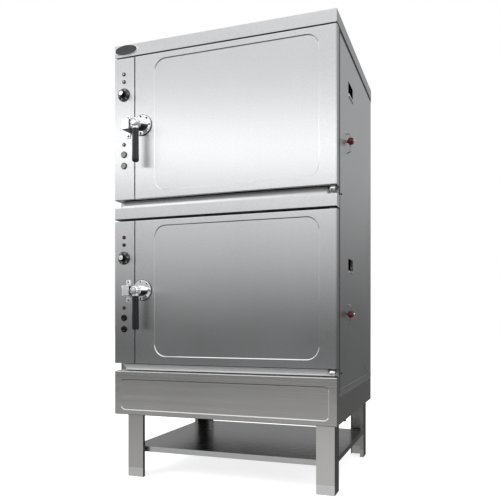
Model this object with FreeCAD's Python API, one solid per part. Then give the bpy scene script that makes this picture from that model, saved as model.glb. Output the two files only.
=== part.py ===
import FreeCAD, Part
import math
import os

# Two-deck steam cabinet on an open stand, in millimetres.
# While it is being built, X is 0 on the centre line of the body, Y is 0 on the front face of the doors and
# grows towards the back, and Z is 0 on the floor. The finished pieces are then moved sideways so that the
# origin lies under the middle of the whole part.

# Overall sizes
cabinet_width = 840.0
cabinet_depth = 760.0
deck_count = 2
door_height = 528.0
recess_height = 29.0
fascia_height = 43.0
fascia_gap = 7.0
overlay_depth = 42.0
deck_pitch = recess_height + door_height + fascia_gap + fascia_height

# Sheet thicknesses
panel_wall = 1.5
frame_wall = 2.0
chamber_wall = 1.2
cap_wall = 1.2
leg_wall = 2.0
cap_overhang = 1.5
bend_radius = 2.5

# Stand
stand_top = 337.0
apron_bottom = 245.0
stand_fascia_top = 406.0
leg_face_width = 65.0
leg_side_depth = 70.0
leg_lip = 15.0
leg_inset = 18.0
leg_setback = 62.0
rail_height = 40.0
rail_depth = 25.0
shelf_top = 112.0
shelf_flange = 20.0
shelf_side_inset = 28.0
shelf_front_gap = 26.0
shelf_play = 0.3
stand_emboss_side = 26.0
stand_emboss_below = 17.0
stand_emboss_above = 29.0
stand_emboss_radius = 18.0
stand_emboss_depth = 1.5
tray_flange = 12.0

# Body frame
post_leg = 30.0
panel_return = 15.0
side_panel_gap = 5.0

# Chamber, insulation and mouth
chamber_left_margin = 130.0
chamber_right_margin = 50.0
chamber_rear_margin = 114.0
chamber_floor_rise = 10.0
chamber_height = 480.0
mouth_sill = 50.0
mouth_top_margin = 40.0
chamber_flange = 14.0
flange_below_door = 3.0
flange_above_mouth = 15.0
wall_hole_play = 0.2
wool_hole_play = 2.0
wool_front_gap = 1.0
frame_side_bar = 6.0
window_play = 6.0
window_rises = (90.0, 500.0)
insulation_wall = 24.0
mouth_radius = 12.0

# Drip gutters
gutter_below_door = 3.0
gutter_depth = 15.0
gutter_front = 14.0
gutter_foot = 30.0
gutter_left_inset = 27.0
gutter_bracket_gap = 6.0

# Doors
strip_width = 82.5
strip_gap = 4.0
door_depth = 36.0
dish_side_left = 79.0
dish_side_right = 59.0
dish_top = 21.0
dish_bottom = 27.0
dish_radius = 45.0
dish_depth = 2.5
dish_slope = 3.0
liner_dish_depth = 4.0
gasket_width = 14.0
gasket_inset = 6.0
gasket_gap = 0.3
core_margin = 30.0
core_clearance = 0.5

# Door pivots
pivot_side = 16.0
pivot_back = 15.0
pivot_radius = 6.0
pivot_clearance = 0.05
bush_depth = 24.0
bush_size = 24.0
bracket_wall = 4.0
bracket_width = 24.0
bracket_gap = 1.0
bracket_nose = 11.0
bracket_side_play = 2.0
bracket_radius = 5.0
top_bracket_wall = 3.0
dome_radius = 11.0
dome_collar = 6.0
dome_rise = 8.0
pin_end_gap = 4.0

# Latch
latch_height = 268.0
latch_side = 26.5
flange_radius = 43.0
flange_wall = 5.0
flange_screw_circle = 31.0
flange_screw_angles = (0, 60, 120, 240, 300)
screw_head_radius = 4.5
screw_head_height = 2.2
screw_slot_width = 1.2
screw_slot_depth = 1.0
screw_shank_radius = 2.5
screw_hole_radius = 2.6
neck_root_radius = 22.0
neck_tip_radius = 15.0
neck_length = 23.0
hub_radius = 15.5
hub_length = 30.0
hub_rounding = 5.0
hub_gap = 0.3
grip_axis_out = 42.0
grip_radius = 12.5
grip_start = 20.0
grip_length = 122.0
grip_taper = 1.0
grip_collar_step = 1.5
grip_end_wall = 20.0
tang_radius = 5.0
pawl_reach = 27.0
pawl_height = 22.0
pawl_wall = 6.5
keeper_gap = 1.0
keeper_block_width = 27.0
keeper_block_height = 38.0
keeper_lip_wall = 7.0
keeper_play = 1.0
keeper_plate_width = 40.0
keeper_plate_height = 84.0
keeper_plate_wall = 3.0
keeper_screw_spacing = 64.0
keeper_screw_inset = 24.0
keeper_plate_radius = 8.0

# Controls, heights above the door's lower edge
control_x_from_edge = 40.0
lamp_heights = (468.0, 440.0, 206.0)
knob_height = 391.0
button_heights = (169.0, 127.0)
lamp_head_radius = 6.5
lamp_body_radius = 4.8
lamp_hole_radius = 5.0
lamp_head_length = 4.0
lamp_body_length = 28.0
knob_skirt_radius = 22.5
knob_skirt_wall = 6.0
knob_grip_radius = 10.0
knob_length = 22.0
knob_gap = 0.5
knob_shaft_radius = 3.0
knob_shaft_length = 14.0
knob_bore_depth = 16.0
knob_flutes = 12
knob_flute_radius = 1.4
knob_flute_out = 0.6
shaft_clearance = 0.05
thermostat_width = 40.0
thermostat_depth = 34.0
thermostat_nut_radius = 7.0
bulb_radius = 3.0
bulb_length = 90.0
bulb_rise = 455.0
bulb_wall_gap = 6.0
bulb_front = 4.0
capillary_radius = 1.2
capillary_y = 120.0
button_radius = 10.0
button_clearance = 0.08
button_stand_out = 6.0
button_travel = 4.0
button_depth = 14.0
bezel_radius = 12.3
bezel_height = 3.0
barrel_radius = 11.1
barrel_hole_radius = 11.3
barrel_depth = 16.0
contact_block = 28.0
contact_block_depth = 24.0
button_dish_ball = 30.0
button_dish_depth = 1.0
button_end_gap = 1.0

# Switchgear on the left side panel
gear_plate_wall = 2.0
gear_plate_y = 290.0
gear_plate_depth = 160.0
gear_plate_rise = 40.0
gear_plate_height = 400.0
contactor_y = 310.0
contactor_depth = 90.0
contactor_width = 55.0
contactor_height = 80.0
contactor_rises = (60.0, 200.0)
terminal_y = 305.0
terminal_depth = 130.0
terminal_width = 35.0
terminal_height = 40.0
terminal_rise = 350.0

# Inside the chambers
guide_levels = 5
guide_pitch = 75.0
guide_first = 110.0
guide_width = 16.0
guide_rib = 10.0
guide_bar_width = 20.0
guide_bar_wall = 2.0
guide_bar_front = 110.0
guide_bar_rear = 130.0
guide_bar_below = 16.0
guide_bar_above = 10.0
guide_front_gap = 30.0
guide_rear_gap = 35.0
false_floor_rise = 54.0
false_floor_play = 2.0
false_floor_foot = 40.0
false_floor_foot_inset = 4.0
false_floor_side_gap = 14.0
floor_hole_radius = 8.0
floor_hole_pitch = 60.0
heater_radius = 4.25
heater_rise = 18.0
heater_bend = 32.0
heater_end_gap = 68.0
heater_front_gap = 120.0
heater_gland_radius = 10.0
heater_gland_length = 8.0
heater_tube_out = 10.0
heater_stud_radius = 6.0
heater_stud_out = 34.0

# Right side: hand slots, valves, drain
slot_front = 212.0
slot_length = 95.0
slot_height = 43.0
slot_rises = (340.0, 373.0)
slot_lip_inset = 6.0
slot_lip_height = 10.0
slot_lip_out = 3.0
valve_y = 158.0
valve_rise = 182.0
valve_body_radius = 9.5
valve_body_length = 44.0
valve_stem_radius = 4.0
valve_hole_radius = 7.0
valve_hub_radius = 5.5
valve_hub_out = 2.0
valve_hub_length = 24.0
valve_wing_wall = 7.0
valve_wing_root = 9.0
valve_wing_tip = 13.0
valve_wing_waist = 4.5
valve_wing_start = 4.0
valve_wing_out = 33.0
valve_stem_grip = 4.0
valve_seat_gap = 0.5
level_tube_radius = 2.0
level_tube_out = 13.0
level_tube_behind = 22.0
level_tube_half = 34.0
level_tube_bend = 8.0
pipe_radius = 7.5
riser_y = 200.0
rear_run_inset = 41.5
rear_run_drop = 74.0
inlet_from_chamber_edge = 10.0
spigot_radius = 10.5
spigot_length = 58.0
spigot_wall = 3.0
spigot_hex = 12.0
spigot_hex_radius = 18.0
drain_radius = 7.2
drain_y = 340.0
drain_outlet_y = 181.0
drain_run_z = 362.0
drain_tail = 5.0
drain_inside = 4.0
drain_hole_play = 0.6
drain_sleeve_radius = 10.2
drain_sleeve_gap = 0.3
drain_sleeve_drop = 9.0
drain_sleeve_rounding = 1.5
fitting_extra = 1.5
vent_radius = 14.0
vent_neck_radius = 13.0
vent_wall = 1.2
vent_x = 60.0
vent_rise = 440.0
vent_out = 46.0
gland_hole_radius = 7.0
gland_body_radius = 13.0
gland_wall = 1.5
back_hole_play = 0.3
gland_out = 22.0
gland_cap_length = 8.0
gland_cap_step = 2.0
gland_cap_rounding = 3.0
gland_nut_length = 8.0
gland_x_from_edge = 70.0
gland_rise = 25.0

# Badge plate on the top cover
badge_length = 96.0
badge_height = 36.0
badge_wall = 2.5
badge_rounding = 0.8
badge_from_edge = 52.0

# Places worked out from the sizes above
half_width = cabinet_width / 2
body_half = half_width - cap_overhang
body_back = cabinet_depth - cap_overhang
inner_half = body_half - panel_wall
back_inner = body_back - panel_wall
frame_back = overlay_depth + frame_wall
cabinet_top = stand_fascia_top + deck_count * deck_pitch
cap_bottom = cabinet_top - fascia_height
cap_under = cabinet_top - cap_wall
side_panel_bottom = stand_top + frame_wall + tray_flange
side_panel_top = cap_bottom - side_panel_gap
door_left = -half_width + strip_width + strip_gap
door_right = half_width
chamber_right = half_width - chamber_right_margin
chamber_left = -half_width + chamber_left_margin
chamber_back = cabinet_depth - chamber_rear_margin
first_door_bottom = stand_fascia_top + recess_height
pivot_x = door_right - pivot_side
latch_x = door_left + latch_side
control_x = -half_width + control_x_from_edge
leg_outer = body_half - leg_inset
leg_rear = body_back - (leg_setback - overlay_depth)
valve_x = (chamber_right + chamber_wall + insulation_wall + inner_half) / 2
rear_run_y = body_back - rear_run_inset
rear_run_z = first_door_bottom + (deck_count - 1) * deck_pitch + valve_rise - rear_run_drop
inlet_x = chamber_right - inlet_from_chamber_edge
gland_x = -half_width + gland_x_from_edge
gland_z = first_door_bottom + gland_rise
rear_spigot_end = body_back + spigot_length
front_reach = flange_wall + neck_length + hub_gap + hub_length
side_reach = valve_wing_out

shift_x = -(side_reach - cap_overhang) / 2
shift_y = -(rear_spigot_end - front_reach) / 2


def vec(x, y, z):
    return FreeCAD.Vector(x, y, z)


def box(xs, ys, zs):
    """A block between the two values given for each direction."""
    x0, x1 = sorted(xs)
    y0, y1 = sorted(ys)
    z0, z1 = sorted(zs)
    return Part.makeBox(x1 - x0, y1 - y0, z1 - z0, vec(x0, y0, z0))


def rod(radius, start, axis, length):
    return Part.makeCylinder(radius, length, start, axis)


def union(shapes):
    whole = shapes[0]
    if len(shapes) > 1:
        whole = whole.fuse(shapes[1:])
    return whole.removeSplitter()


def group(shapes):
    """Separate solids that share one node."""
    solids = []
    for shape in shapes:
        solids.extend(shape.Solids)
    return Part.makeCompound(solids)


def soften(shape, radius, wanted):
    """Round the edges that the test picks, as a folded or turned edge is round."""
    edges = [edge for edge in shape.Edges if wanted(edge)]
    return shape.makeFillet(radius, edges)


def along(edge, axis):
    """True where a straight edge runs along the axis."""
    if not isinstance(edge.Curve, Part.Line):
        return False
    return abs(abs(edge.Curve.Direction.dot(axis)) - 1) < 1e-6


def near(value, target):
    return abs(value - target) < 1e-3


def at_depth(edge, y):
    """True where an edge lies wholly at one depth."""
    return near(edge.BoundBox.YMin, y) and near(edge.BoundBox.YMax, y)


def round_rect(xs, zs, radius, y):
    """The wire of a rectangle with round corners, standing at one depth."""
    x0, x1 = xs
    z0, z1 = zs
    turn = radius * (1 - math.sqrt(0.5))
    corners = (
        (vec(x1 - radius, y, z0), vec(x1 - turn, y, z0 + turn), vec(x1, y, z0 + radius)),
        (vec(x1, y, z1 - radius), vec(x1 - turn, y, z1 - turn), vec(x1 - radius, y, z1)),
        (vec(x0 + radius, y, z1), vec(x0 + turn, y, z1 - turn), vec(x0, y, z1 - radius)),
        (vec(x0, y, z0 + radius), vec(x0 + turn, y, z0 + turn), vec(x0 + radius, y, z0)),
    )
    edges = []
    for index, corner in enumerate(corners):
        edges.append(Part.Arc(*corner).toShape())
        following = corners[(index + 1) % len(corners)]
        edges.append(Part.LineSegment(corner[2], following[0]).toShape())
    return Part.Wire(edges)


def round_slab(xs, zs, radius, ys):
    """A plate with round corners between two depths."""
    wire = round_rect(xs, zs, radius, ys[0])
    return Part.Face(wire).extrude(vec(0, ys[1] - ys[0], 0))


def pressed_pocket(xs, zs, radius, depth, slope, y):
    """The space that a pressing takes out of a flat sheet: sloped sides and a flat floor."""
    outer = round_rect(xs, zs, radius, y)
    inner_xs = (xs[0] + slope, xs[1] - slope)
    inner_zs = (zs[0] + slope, zs[1] - slope)
    inner = round_rect(inner_xs, inner_zs, radius - slope, y + depth)
    return Part.makeLoft([outer, inner], True, True)


def pan(xs, ys, zs, wall):
    """A folded tray that is open at the back, with its front edges rounded."""
    body = box(xs, ys, zs)
    front = ys[0]
    body = soften(body, bend_radius, lambda edge: at_depth(edge, front))
    hollow = box((xs[0] + wall, xs[1] - wall), (front + wall, ys[1]), (zs[0] + wall, zs[1] - wall))
    return body.cut(hollow)


def ring_of_bars(xs, ys, zs, hole_xs, hole_zs):
    """Four flat bars that leave a rectangular opening between them."""
    return [
        box((xs[0], hole_xs[0]), ys, zs),
        box((hole_xs[1], xs[1]), ys, zs),
        box(hole_xs, ys, (zs[0], hole_zs[0])),
        box(hole_xs, ys, (hole_zs[1], zs[1])),
    ]


def column_of_bars(xs, ys, zs, openings):
    """Flat bars above each other that leave the openings of one column free."""
    edges = [zs[0]]
    for low, high in openings:
        edges.extend((low, high))
    edges.append(zs[1])
    return [box(xs, ys, pair) for pair in zip(edges[0::2], edges[1::2])]


def opening_corners(xs, zs):
    """Each corner of a rectangular opening, with the directions that lead into the opening."""
    return [(x, dx, z, dz) for x, dx in ((xs[0], 1), (xs[1], -1)) for z, dz in ((zs[0], 1), (zs[1], -1))]


def round_webs(xs, ys, zs, radius):
    """The small webs that round the corners of a rectangular opening."""
    webs = []
    for x, dx, z, dz in opening_corners(xs, zs):
        centre_x = x + dx * radius
        centre_z = z + dz * radius
        web = box((x, centre_x), ys, (z, centre_z))
        webs.append(web.cut(rod(radius, vec(centre_x, ys[0], centre_z), vec(0, 1, 0), ys[1] - ys[0])))
    return webs


def straight_webs(xs, ys, zs, leg):
    """Triangles that cut the corners of a square opening, so that it has eight sides."""
    webs = []
    for x, dx, z, dz in opening_corners(xs, zs):
        points = [vec(x, ys[0], z), vec(x + dx * leg, ys[0], z), vec(x, ys[0], z + dz * leg)]
        face = Part.Face(Part.makePolygon(points + points[:1]))
        webs.append(face.extrude(vec(0, ys[1] - ys[0], 0)))
    return webs


def slotted_head(place):
    """A flat round screw head with a slot; the place is the middle of its underside."""
    top = place.y - screw_head_height
    head = rod(screw_head_radius, vec(place.x, top, place.z), vec(0, 1, 0), screw_head_height)
    head = soften(head, screw_slot_depth, lambda edge: near(edge.BoundBox.YMax, top))
    slot_xs = (place.x - screw_head_radius, place.x + screw_head_radius)
    slot_zs = (place.z - screw_slot_width / 2, place.z + screw_slot_width / 2)
    return head.cut(box(slot_xs, (top, top + screw_slot_depth), slot_zs))


def door_bottom(deck):
    return first_door_bottom + deck * deck_pitch


# Stand

def stand_leg(side, rear):
    """One leg folded from sheet: a front face, a side face and a narrow lip on each free edge."""
    back = -1 if rear else 1
    corner_y = leg_rear if rear else leg_setback
    corner_x = side * leg_outer

    def part(x0, x1, y0, y1):
        xs = (corner_x - side * x0, corner_x - side * x1)
        ys = (corner_y + back * y0, corner_y + back * y1)
        return box(xs, ys, (0, stand_top))

    leg = union([
        part(0, leg_face_width, 0, leg_wall),
        part(0, leg_wall, 0, leg_side_depth),
        part(leg_face_width - leg_wall, leg_face_width, 0, leg_lip),
        part(0, leg_lip, leg_side_depth - leg_wall, leg_side_depth),
    ])
    corner = vec(corner_x, corner_y, 0)

    def outer_bend(edge):
        middle = edge.BoundBox.Center
        return along(edge, vec(0, 0, 1)) and math.hypot(middle.x - corner.x, middle.y - corner.y) < 0.01

    return soften(leg, bend_radius, outer_bend)


def stand_legs():
    return group([stand_leg(side, rear) for side in (-1, 1) for rear in (False, True)])


def stand_front_fascia():
    """The deep cover in front of the stand, with a shallow pressed rectangle."""
    zs = (apron_bottom, stand_fascia_top)
    xs = (-half_width, half_width)
    fascia = pan(xs, (0, overlay_depth), zs, panel_wall)
    dish_xs = (xs[0] + stand_emboss_side, xs[1] - stand_emboss_side)
    dish_zs = (zs[0] + stand_emboss_below, zs[1] - stand_emboss_above)
    backing_ys = (panel_wall / 2, panel_wall + stand_emboss_depth)
    backing = round_slab(dish_xs, dish_zs, stand_emboss_radius, backing_ys)
    pocket = pressed_pocket(dish_xs, dish_zs, stand_emboss_radius, stand_emboss_depth, dish_slope, 0)
    return fascia.fuse(backing).cut(pocket).removeSplitter()


def stand_side_apron(side):
    """A folded channel under the side panel that reaches in to the legs."""
    def part(x0, x1, ys, zs):
        return box((side * x0, side * x1), ys, zs)

    ys = (overlay_depth, back_inner)
    zs = (apron_bottom, stand_top)
    return union([
        part(inner_half, body_half, ys, zs),
        part(leg_outer, inner_half, ys, (zs[1] - panel_wall, zs[1])),
        part(leg_outer, inner_half, ys, (zs[0], zs[0] + panel_wall)),
        part(leg_outer, inner_half, (ys[0], ys[0] + panel_wall), zs),
    ])


def stand_rear_apron():
    xs = (-body_half, body_half)
    flange_xs = (-leg_outer, leg_outer)
    return union([
        box(xs, (back_inner, body_back), (apron_bottom, stand_top)),
        box(flange_xs, (leg_rear, back_inner), (stand_top - panel_wall, stand_top)),
        box(flange_xs, (leg_rear, back_inner), (apron_bottom, apron_bottom + panel_wall)),
    ])


def stand_aprons():
    """Both side aprons and the rear one; the drain passes through the flanges of the right one."""
    hole_start = vec(valve_x, drain_outlet_y, apron_bottom)
    hole = rod(drain_radius + drain_hole_play, hole_start, vec(0, 0, 1), stand_top - apron_bottom)
    return group([stand_side_apron(-1), stand_side_apron(1).cut(hole), stand_rear_apron()])


def stand_top_rails():
    """Four channels between the legs that carry the body, open towards the middle of the stand."""
    zs = (stand_top - rail_height, stand_top)
    hollow_zs = (zs[0] + leg_wall, zs[1] - leg_wall)
    front = leg_setback + leg_wall
    rear = leg_rear - leg_wall
    long_x = leg_outer - leg_face_width
    side_outer = leg_outer - leg_wall
    rails = []
    for outer, inner in ((front, front + rail_depth), (rear, rear - rail_depth)):
        step = math.copysign(leg_wall, inner - outer)
        rail = box((-long_x, long_x), (outer, inner), zs)
        rails.append(rail.cut(box((-long_x, long_x), (outer + step, inner), hollow_zs)))
    ys = (leg_setback + leg_side_depth, leg_rear - leg_side_depth)
    for side in (-1, 1):
        rail = box((side * side_outer, side * (side_outer - rail_depth)), ys, zs)
        inside = (side * (side_outer - leg_wall), side * (side_outer - rail_depth))
        rails.append(rail.cut(box(inside, ys, hollow_zs)))
    return group(rails)


def stand_shelf():
    """The lower shelf: a tray turned down on all sides, with a wider tab into the corner of each leg."""
    zs = (shelf_top - shelf_flange, shelf_top)
    half = half_width - shelf_side_inset
    ys = (leg_setback + shelf_front_gap, leg_rear - shelf_front_gap)
    tab_half = leg_outer - leg_wall
    tab_end = leg_side_depth - leg_wall
    blocks = [box((-half, half), ys, zs)]
    blocks.append(box((-tab_half, tab_half), (ys[0], leg_setback + tab_end), zs))
    blocks.append(box((-tab_half, tab_half), (leg_rear - tab_end, ys[1]), zs))
    shelf = union(blocks)
    notch_half = leg_outer - leg_lip - shelf_play
    front_notch = (leg_setback + tab_end - shelf_play, leg_setback + leg_side_depth + shelf_play)
    rear_notch = (leg_rear - leg_side_depth - shelf_play, leg_rear - tab_end + shelf_play)
    for notch in (front_notch, rear_notch):
        for side in (-1, 1):
            shelf = shelf.cut(box((side * notch_half, side * leg_outer), notch, zs))
    wall = panel_wall
    under = (zs[0], zs[1] - wall)
    tab_inside = tab_half - wall
    hollow = union([
        box((wall - notch_half, notch_half - wall), (ys[0] + wall, ys[1] - wall), under),
        box((wall - half, half - wall), (front_notch[1] + wall, rear_notch[0] - wall), under),
        box((-tab_inside, tab_inside), (ys[0] + wall, front_notch[0] - wall), under),
        box((-tab_inside, tab_inside), (rear_notch[1] + wall, ys[1] - wall), under),
    ])
    return shelf.cut(hollow)


# Body

def base_tray():
    """The floor of the body and an upright strip along each side that carries the side panel."""
    ys = (overlay_depth, body_back)
    floor = box((-body_half, body_half), ys, (stand_top, stand_top + frame_wall))
    hole_start = vec(valve_x, drain_outlet_y, stand_top)
    floor = floor.cut(rod(drain_radius + drain_hole_play, hole_start, vec(0, 0, 1), frame_wall))
    strips = []
    for side in (-1, 1):
        strip_xs = (side * inner_half, side * body_half)
        strips.append(box(strip_xs, ys, (stand_top + frame_wall, side_panel_bottom)))
    return group([floor] + strips)


def corner_posts():
    """Four upright angles from the base tray to the top cover."""
    zs = (stand_top + frame_wall, cap_under)
    posts = []
    for side in (-1, 1):
        for front in (frame_back, back_inner):
            inward = 1 if front == frame_back else -1
            face_xs = (side * inner_half, side * (inner_half - post_leg))
            face = box(face_xs, (front, front + inward * frame_wall), zs)
            flank_xs = (side * inner_half, side * (inner_half - frame_wall))
            flank = box(flank_xs, (front, front + inward * post_leg), zs)
            posts.append(union([face, flank]))
    return group(posts)


def side_panel(side):
    """One tall panel over both decks, folded in at its front edge."""
    zs = (side_panel_bottom, side_panel_top)
    ys = (overlay_depth, back_inner)
    sheet = box((side * inner_half, side * body_half), ys, zs)
    fold = box((side * inner_half, side * (inner_half - panel_return)), (ys[0], ys[0] + panel_wall), zs)
    panel = union([sheet, fold])
    corner_x = side * body_half

    def bend(edge):
        middle = edge.BoundBox.Center
        return along(edge, vec(0, 0, 1)) and near(middle.x, corner_x) and near(middle.y, ys[0])

    return soften(panel, bend_radius - 1, bend)


def side_panel_right():
    """The right panel: bands above each other that leave the hand slots free, and a lip under each slot."""
    panel = side_panel(1)
    for deck in range(deck_count):
        centre = vec(inner_half, valve_y, valve_z(deck))
        panel = panel.cut(rod(valve_hole_radius, centre, vec(1, 0, 0), panel_wall))
    slot_ys = (slot_front, slot_front + slot_length)
    xs = (inner_half - panel_return, body_half)
    below = side_panel_bottom
    parts = []
    for deck, rise in enumerate(slot_rises):
        bottom = door_bottom(deck) + rise
        top = bottom + slot_height
        parts.append(panel.common(box(xs, (overlay_depth, back_inner), (below, bottom))))
        parts.append(panel.common(box(xs, (overlay_depth, slot_ys[0]), (bottom, top))))
        parts.append(panel.common(box(xs, (slot_ys[1], back_inner), (bottom, top))))
        outer = body_half + slot_lip_out
        lip_ys = (slot_ys[0] + slot_lip_inset, slot_ys[1] - slot_lip_inset)
        lip = box((body_half, outer), lip_ys, (bottom - slot_lip_height, bottom))
        parts.append(soften(lip, slot_lip_out / 2, lambda edge: near(edge.BoundBox.XMin, outer)))
        below = top
    parts.append(panel.common(box(xs, (overlay_depth, back_inner), (below, side_panel_top))))
    return group(parts)


def back_panel():
    xs = (-body_half, body_half)
    panel = box(xs, (back_inner, body_back), (stand_top + frame_wall, side_panel_top))
    for side in (-1, 1):
        flange_xs = (side * inner_half, side * body_half)
        panel = panel.cut(box(flange_xs, (back_inner, body_back), (stand_top, side_panel_bottom)))
    depth = panel_wall + 2
    holes = [(inlet_x, rear_run_z, pipe_radius + back_hole_play)]
    holes.append((gland_x, gland_z, gland_hole_radius + gland_wall + back_hole_play))
    for deck in range(deck_count):
        holes.append((vent_x, door_bottom(deck) + vent_rise, vent_neck_radius + back_hole_play))
    for x, z, radius in holes:
        panel = panel.cut(rod(radius, vec(x, back_inner - 1, z), vec(0, 1, 0), depth))
    return panel


def top_cover():
    """The cover: a shallow box open below, with its front edge folded back under itself."""
    xs = (-half_width, half_width)
    zs = (cap_bottom, cabinet_top)
    cover = box(xs, (0, cabinet_depth), zs)
    cover = soften(cover, bend_radius, lambda edge: not near(edge.BoundBox.ZMin, zs[0]))
    inside = (xs[0] + cap_wall, xs[1] - cap_wall)
    cover = cover.cut(box(inside, (cap_wall, cabinet_depth - cap_wall), (zs[0], zs[1] - cap_wall)))
    fold = box(inside, (cap_wall, overlay_depth), (zs[0], zs[0] + cap_wall))
    return cover.fuse(fold).removeSplitter()


def mid_fascia():
    """The top strip of the lower deck, between the two doors."""
    bottom = door_bottom(0) + door_height + fascia_gap
    return pan((-half_width, half_width), (0, overlay_depth), (bottom, bottom + fascia_height), panel_wall)


def front_frame():
    """The frame behind both doors: flat bars round the mouth of each chamber and behind the controls."""
    half = inner_half - panel_return
    ys = (overlay_depth, frame_back)
    zs = (stand_top + frame_wall, cap_under)
    window_xs = (-half + frame_side_bar, control_x + thermostat_width / 2 + window_play)
    mouth_xs = (chamber_left, chamber_right)
    mouths = [mouth_zs(deck) for deck in range(deck_count)]
    windows = [tuple(door_bottom(deck) + rise for rise in window_rises) for deck in range(deck_count)]
    uprights = ((-half, window_xs[0]), (window_xs[1], mouth_xs[0]), (mouth_xs[1], half))
    bars = [box(xs, ys, zs) for xs in uprights]
    bars.extend(column_of_bars(window_xs, ys, zs, windows))
    bars.extend(column_of_bars(mouth_xs, ys, zs, mouths))
    for mouth in mouths:
        bars.extend(round_webs(mouth_xs, ys, mouth, mouth_radius))
    return group(bars)


def mouth_zs(deck):
    low = door_bottom(deck)
    return (low + mouth_sill, low + door_height - mouth_top_margin)


def drip_gutter(deck):
    """A trough under the door: sloped front wall, flat bottom, back wall on the front frame."""
    top = door_bottom(deck) - gutter_below_door
    bottom = top - gutter_depth
    left = -half_width + gutter_left_inset
    right = pivot_x - bracket_width / 2 - gutter_bracket_gap
    wall = panel_wall
    back = overlay_depth
    outer = [(gutter_front, top), (gutter_foot, bottom), (back, bottom), (back, top)]
    inner = [
        (gutter_front + 2 * wall, top + 1),
        (gutter_foot + wall, bottom + wall),
        (back - wall, bottom + wall),
        (back - wall, top + 1),
    ]

    def prism(outline, x0, x1):
        points = [vec(x0, y, z) for y, z in outline]
        return Part.Face(Part.makePolygon(points + points[:1])).extrude(vec(x1 - x0, 0, 0))

    return prism(outer, left, right).cut(prism(inner, left + wall, right - wall))


def drip_gutters():
    return group([drip_gutter(deck) for deck in range(deck_count)])


# Chambers

def chamber_box(deck, grow=0.0):
    low = door_bottom(deck) + chamber_floor_rise
    xs = (chamber_left - grow, chamber_right + grow)
    zs = (low - grow, low + chamber_height + grow)
    return xs, (frame_back, chamber_back + grow), zs


def chamber(deck):
    """The welded inner box of flat plates: its lower part is the water bath, closed by the sill."""
    wall = chamber_wall
    outer_xs, outer_ys, outer_zs = chamber_box(deck, wall)
    xs, ys, zs = chamber_box(deck)
    side_ys = (frame_back + wall, outer_ys[1])
    left = box((outer_xs[0], xs[0]), side_ys, zs)
    right = box((xs[1], outer_xs[1]), side_ys, zs)
    for hole in side_holes(deck, wall_hole_play):
        left = left.cut(hole)
        right = right.cut(hole)
    plates = [left, right]
    plates.append(box(outer_xs, side_ys, (outer_zs[0], zs[0])))
    plates.append(box(outer_xs, side_ys, (zs[1], outer_zs[1])))
    back_ys = (chamber_back, chamber_back + wall)
    half = vent_neck_radius + wall_hole_play
    vent_z = door_bottom(deck) + vent_rise
    vent_xs = (vent_x - half, vent_x + half)
    vent_zs = (vent_z - half, vent_z + half)
    plates.extend(ring_of_bars(xs, back_ys, zs, vent_xs, vent_zs))
    plates.extend(straight_webs(vent_xs, back_ys, vent_zs, half * (2 - math.sqrt(2))))
    flange_xs = (xs[0] - chamber_flange, xs[1] + chamber_flange)
    mouth = mouth_zs(deck)
    flange_zs = (door_bottom(deck) - flange_below_door, mouth[1] + flange_above_mouth)
    front_ys = (frame_back, frame_back + wall)
    plates.extend(ring_of_bars(flange_xs, front_ys, flange_zs, xs, mouth))
    plates.extend(round_webs(xs, front_ys, mouth, mouth_radius))
    return group(plates)


def heater_ys():
    first = frame_back + heater_front_gap
    return (first, first + (chamber_back - frame_back) / 2)


def heater_z(deck):
    return door_bottom(deck) + chamber_floor_rise + heater_rise


def valve_z(deck):
    return door_bottom(deck) + valve_rise


def drain_z(deck):
    return door_bottom(deck) + chamber_floor_rise + mouth_radius + drain_radius + 1


def bulb_z(deck):
    return door_bottom(deck) + bulb_rise


def side_holes(deck, play):
    """What passes through the chamber's side walls: heater studs, capillary, water and drain."""
    holes = []
    left = chamber_left - chamber_wall - insulation_wall - 1
    length = chamber_wall + insulation_wall + 2
    for y in heater_ys():
        for dy in (0, 2 * heater_bend):
            start = vec(left, y + dy, heater_z(deck))
            holes.append(rod(heater_stud_radius + play, start, vec(1, 0, 0), length))
    bulb_start = vec(left, capillary_y, bulb_z(deck))
    holes.append(rod(capillary_radius + play, bulb_start, vec(1, 0, 0), length))
    right = chamber_right - 1
    water = vec(right, valve_y - valve_body_length / 2 - pipe_radius, valve_z(deck))
    holes.append(rod(pipe_radius + play, water, vec(1, 0, 0), length))
    holes.append(rod(drain_radius + play, vec(right, drain_y, drain_z(deck)), vec(1, 0, 0), length))
    return holes


def vent_hole(deck, play):
    start = vec(vent_x, chamber_back, door_bottom(deck) + vent_rise)
    return rod(vent_neck_radius + play, start, vec(0, 1, 0), chamber_wall + insulation_wall + 1)


def insulation():
    """Mineral wool round each chamber, one wrap per deck."""
    wraps = []
    for deck in range(deck_count):
        xs, ys, zs = chamber_box(deck, chamber_wall + insulation_wall)
        wrap = box(xs, (frame_back + chamber_wall + wool_front_gap, ys[1]), zs)
        inner_xs, inner_ys, inner_zs = chamber_box(deck, chamber_wall)
        wrap = wrap.cut(box(inner_xs, inner_ys, inner_zs))
        for hole in side_holes(deck, wool_hole_play) + [vent_hole(deck, wool_hole_play)]:
            wrap = wrap.cut(hole)
        for side in (-1, 1):
            flank = (side * (inner_half - post_leg - 1), side * inner_half)
            wrap = wrap.cut(box(flank, (frame_back, frame_back + frame_wall + wool_front_gap), zs))
        wraps.append(wrap)
    return group(wraps)


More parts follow.
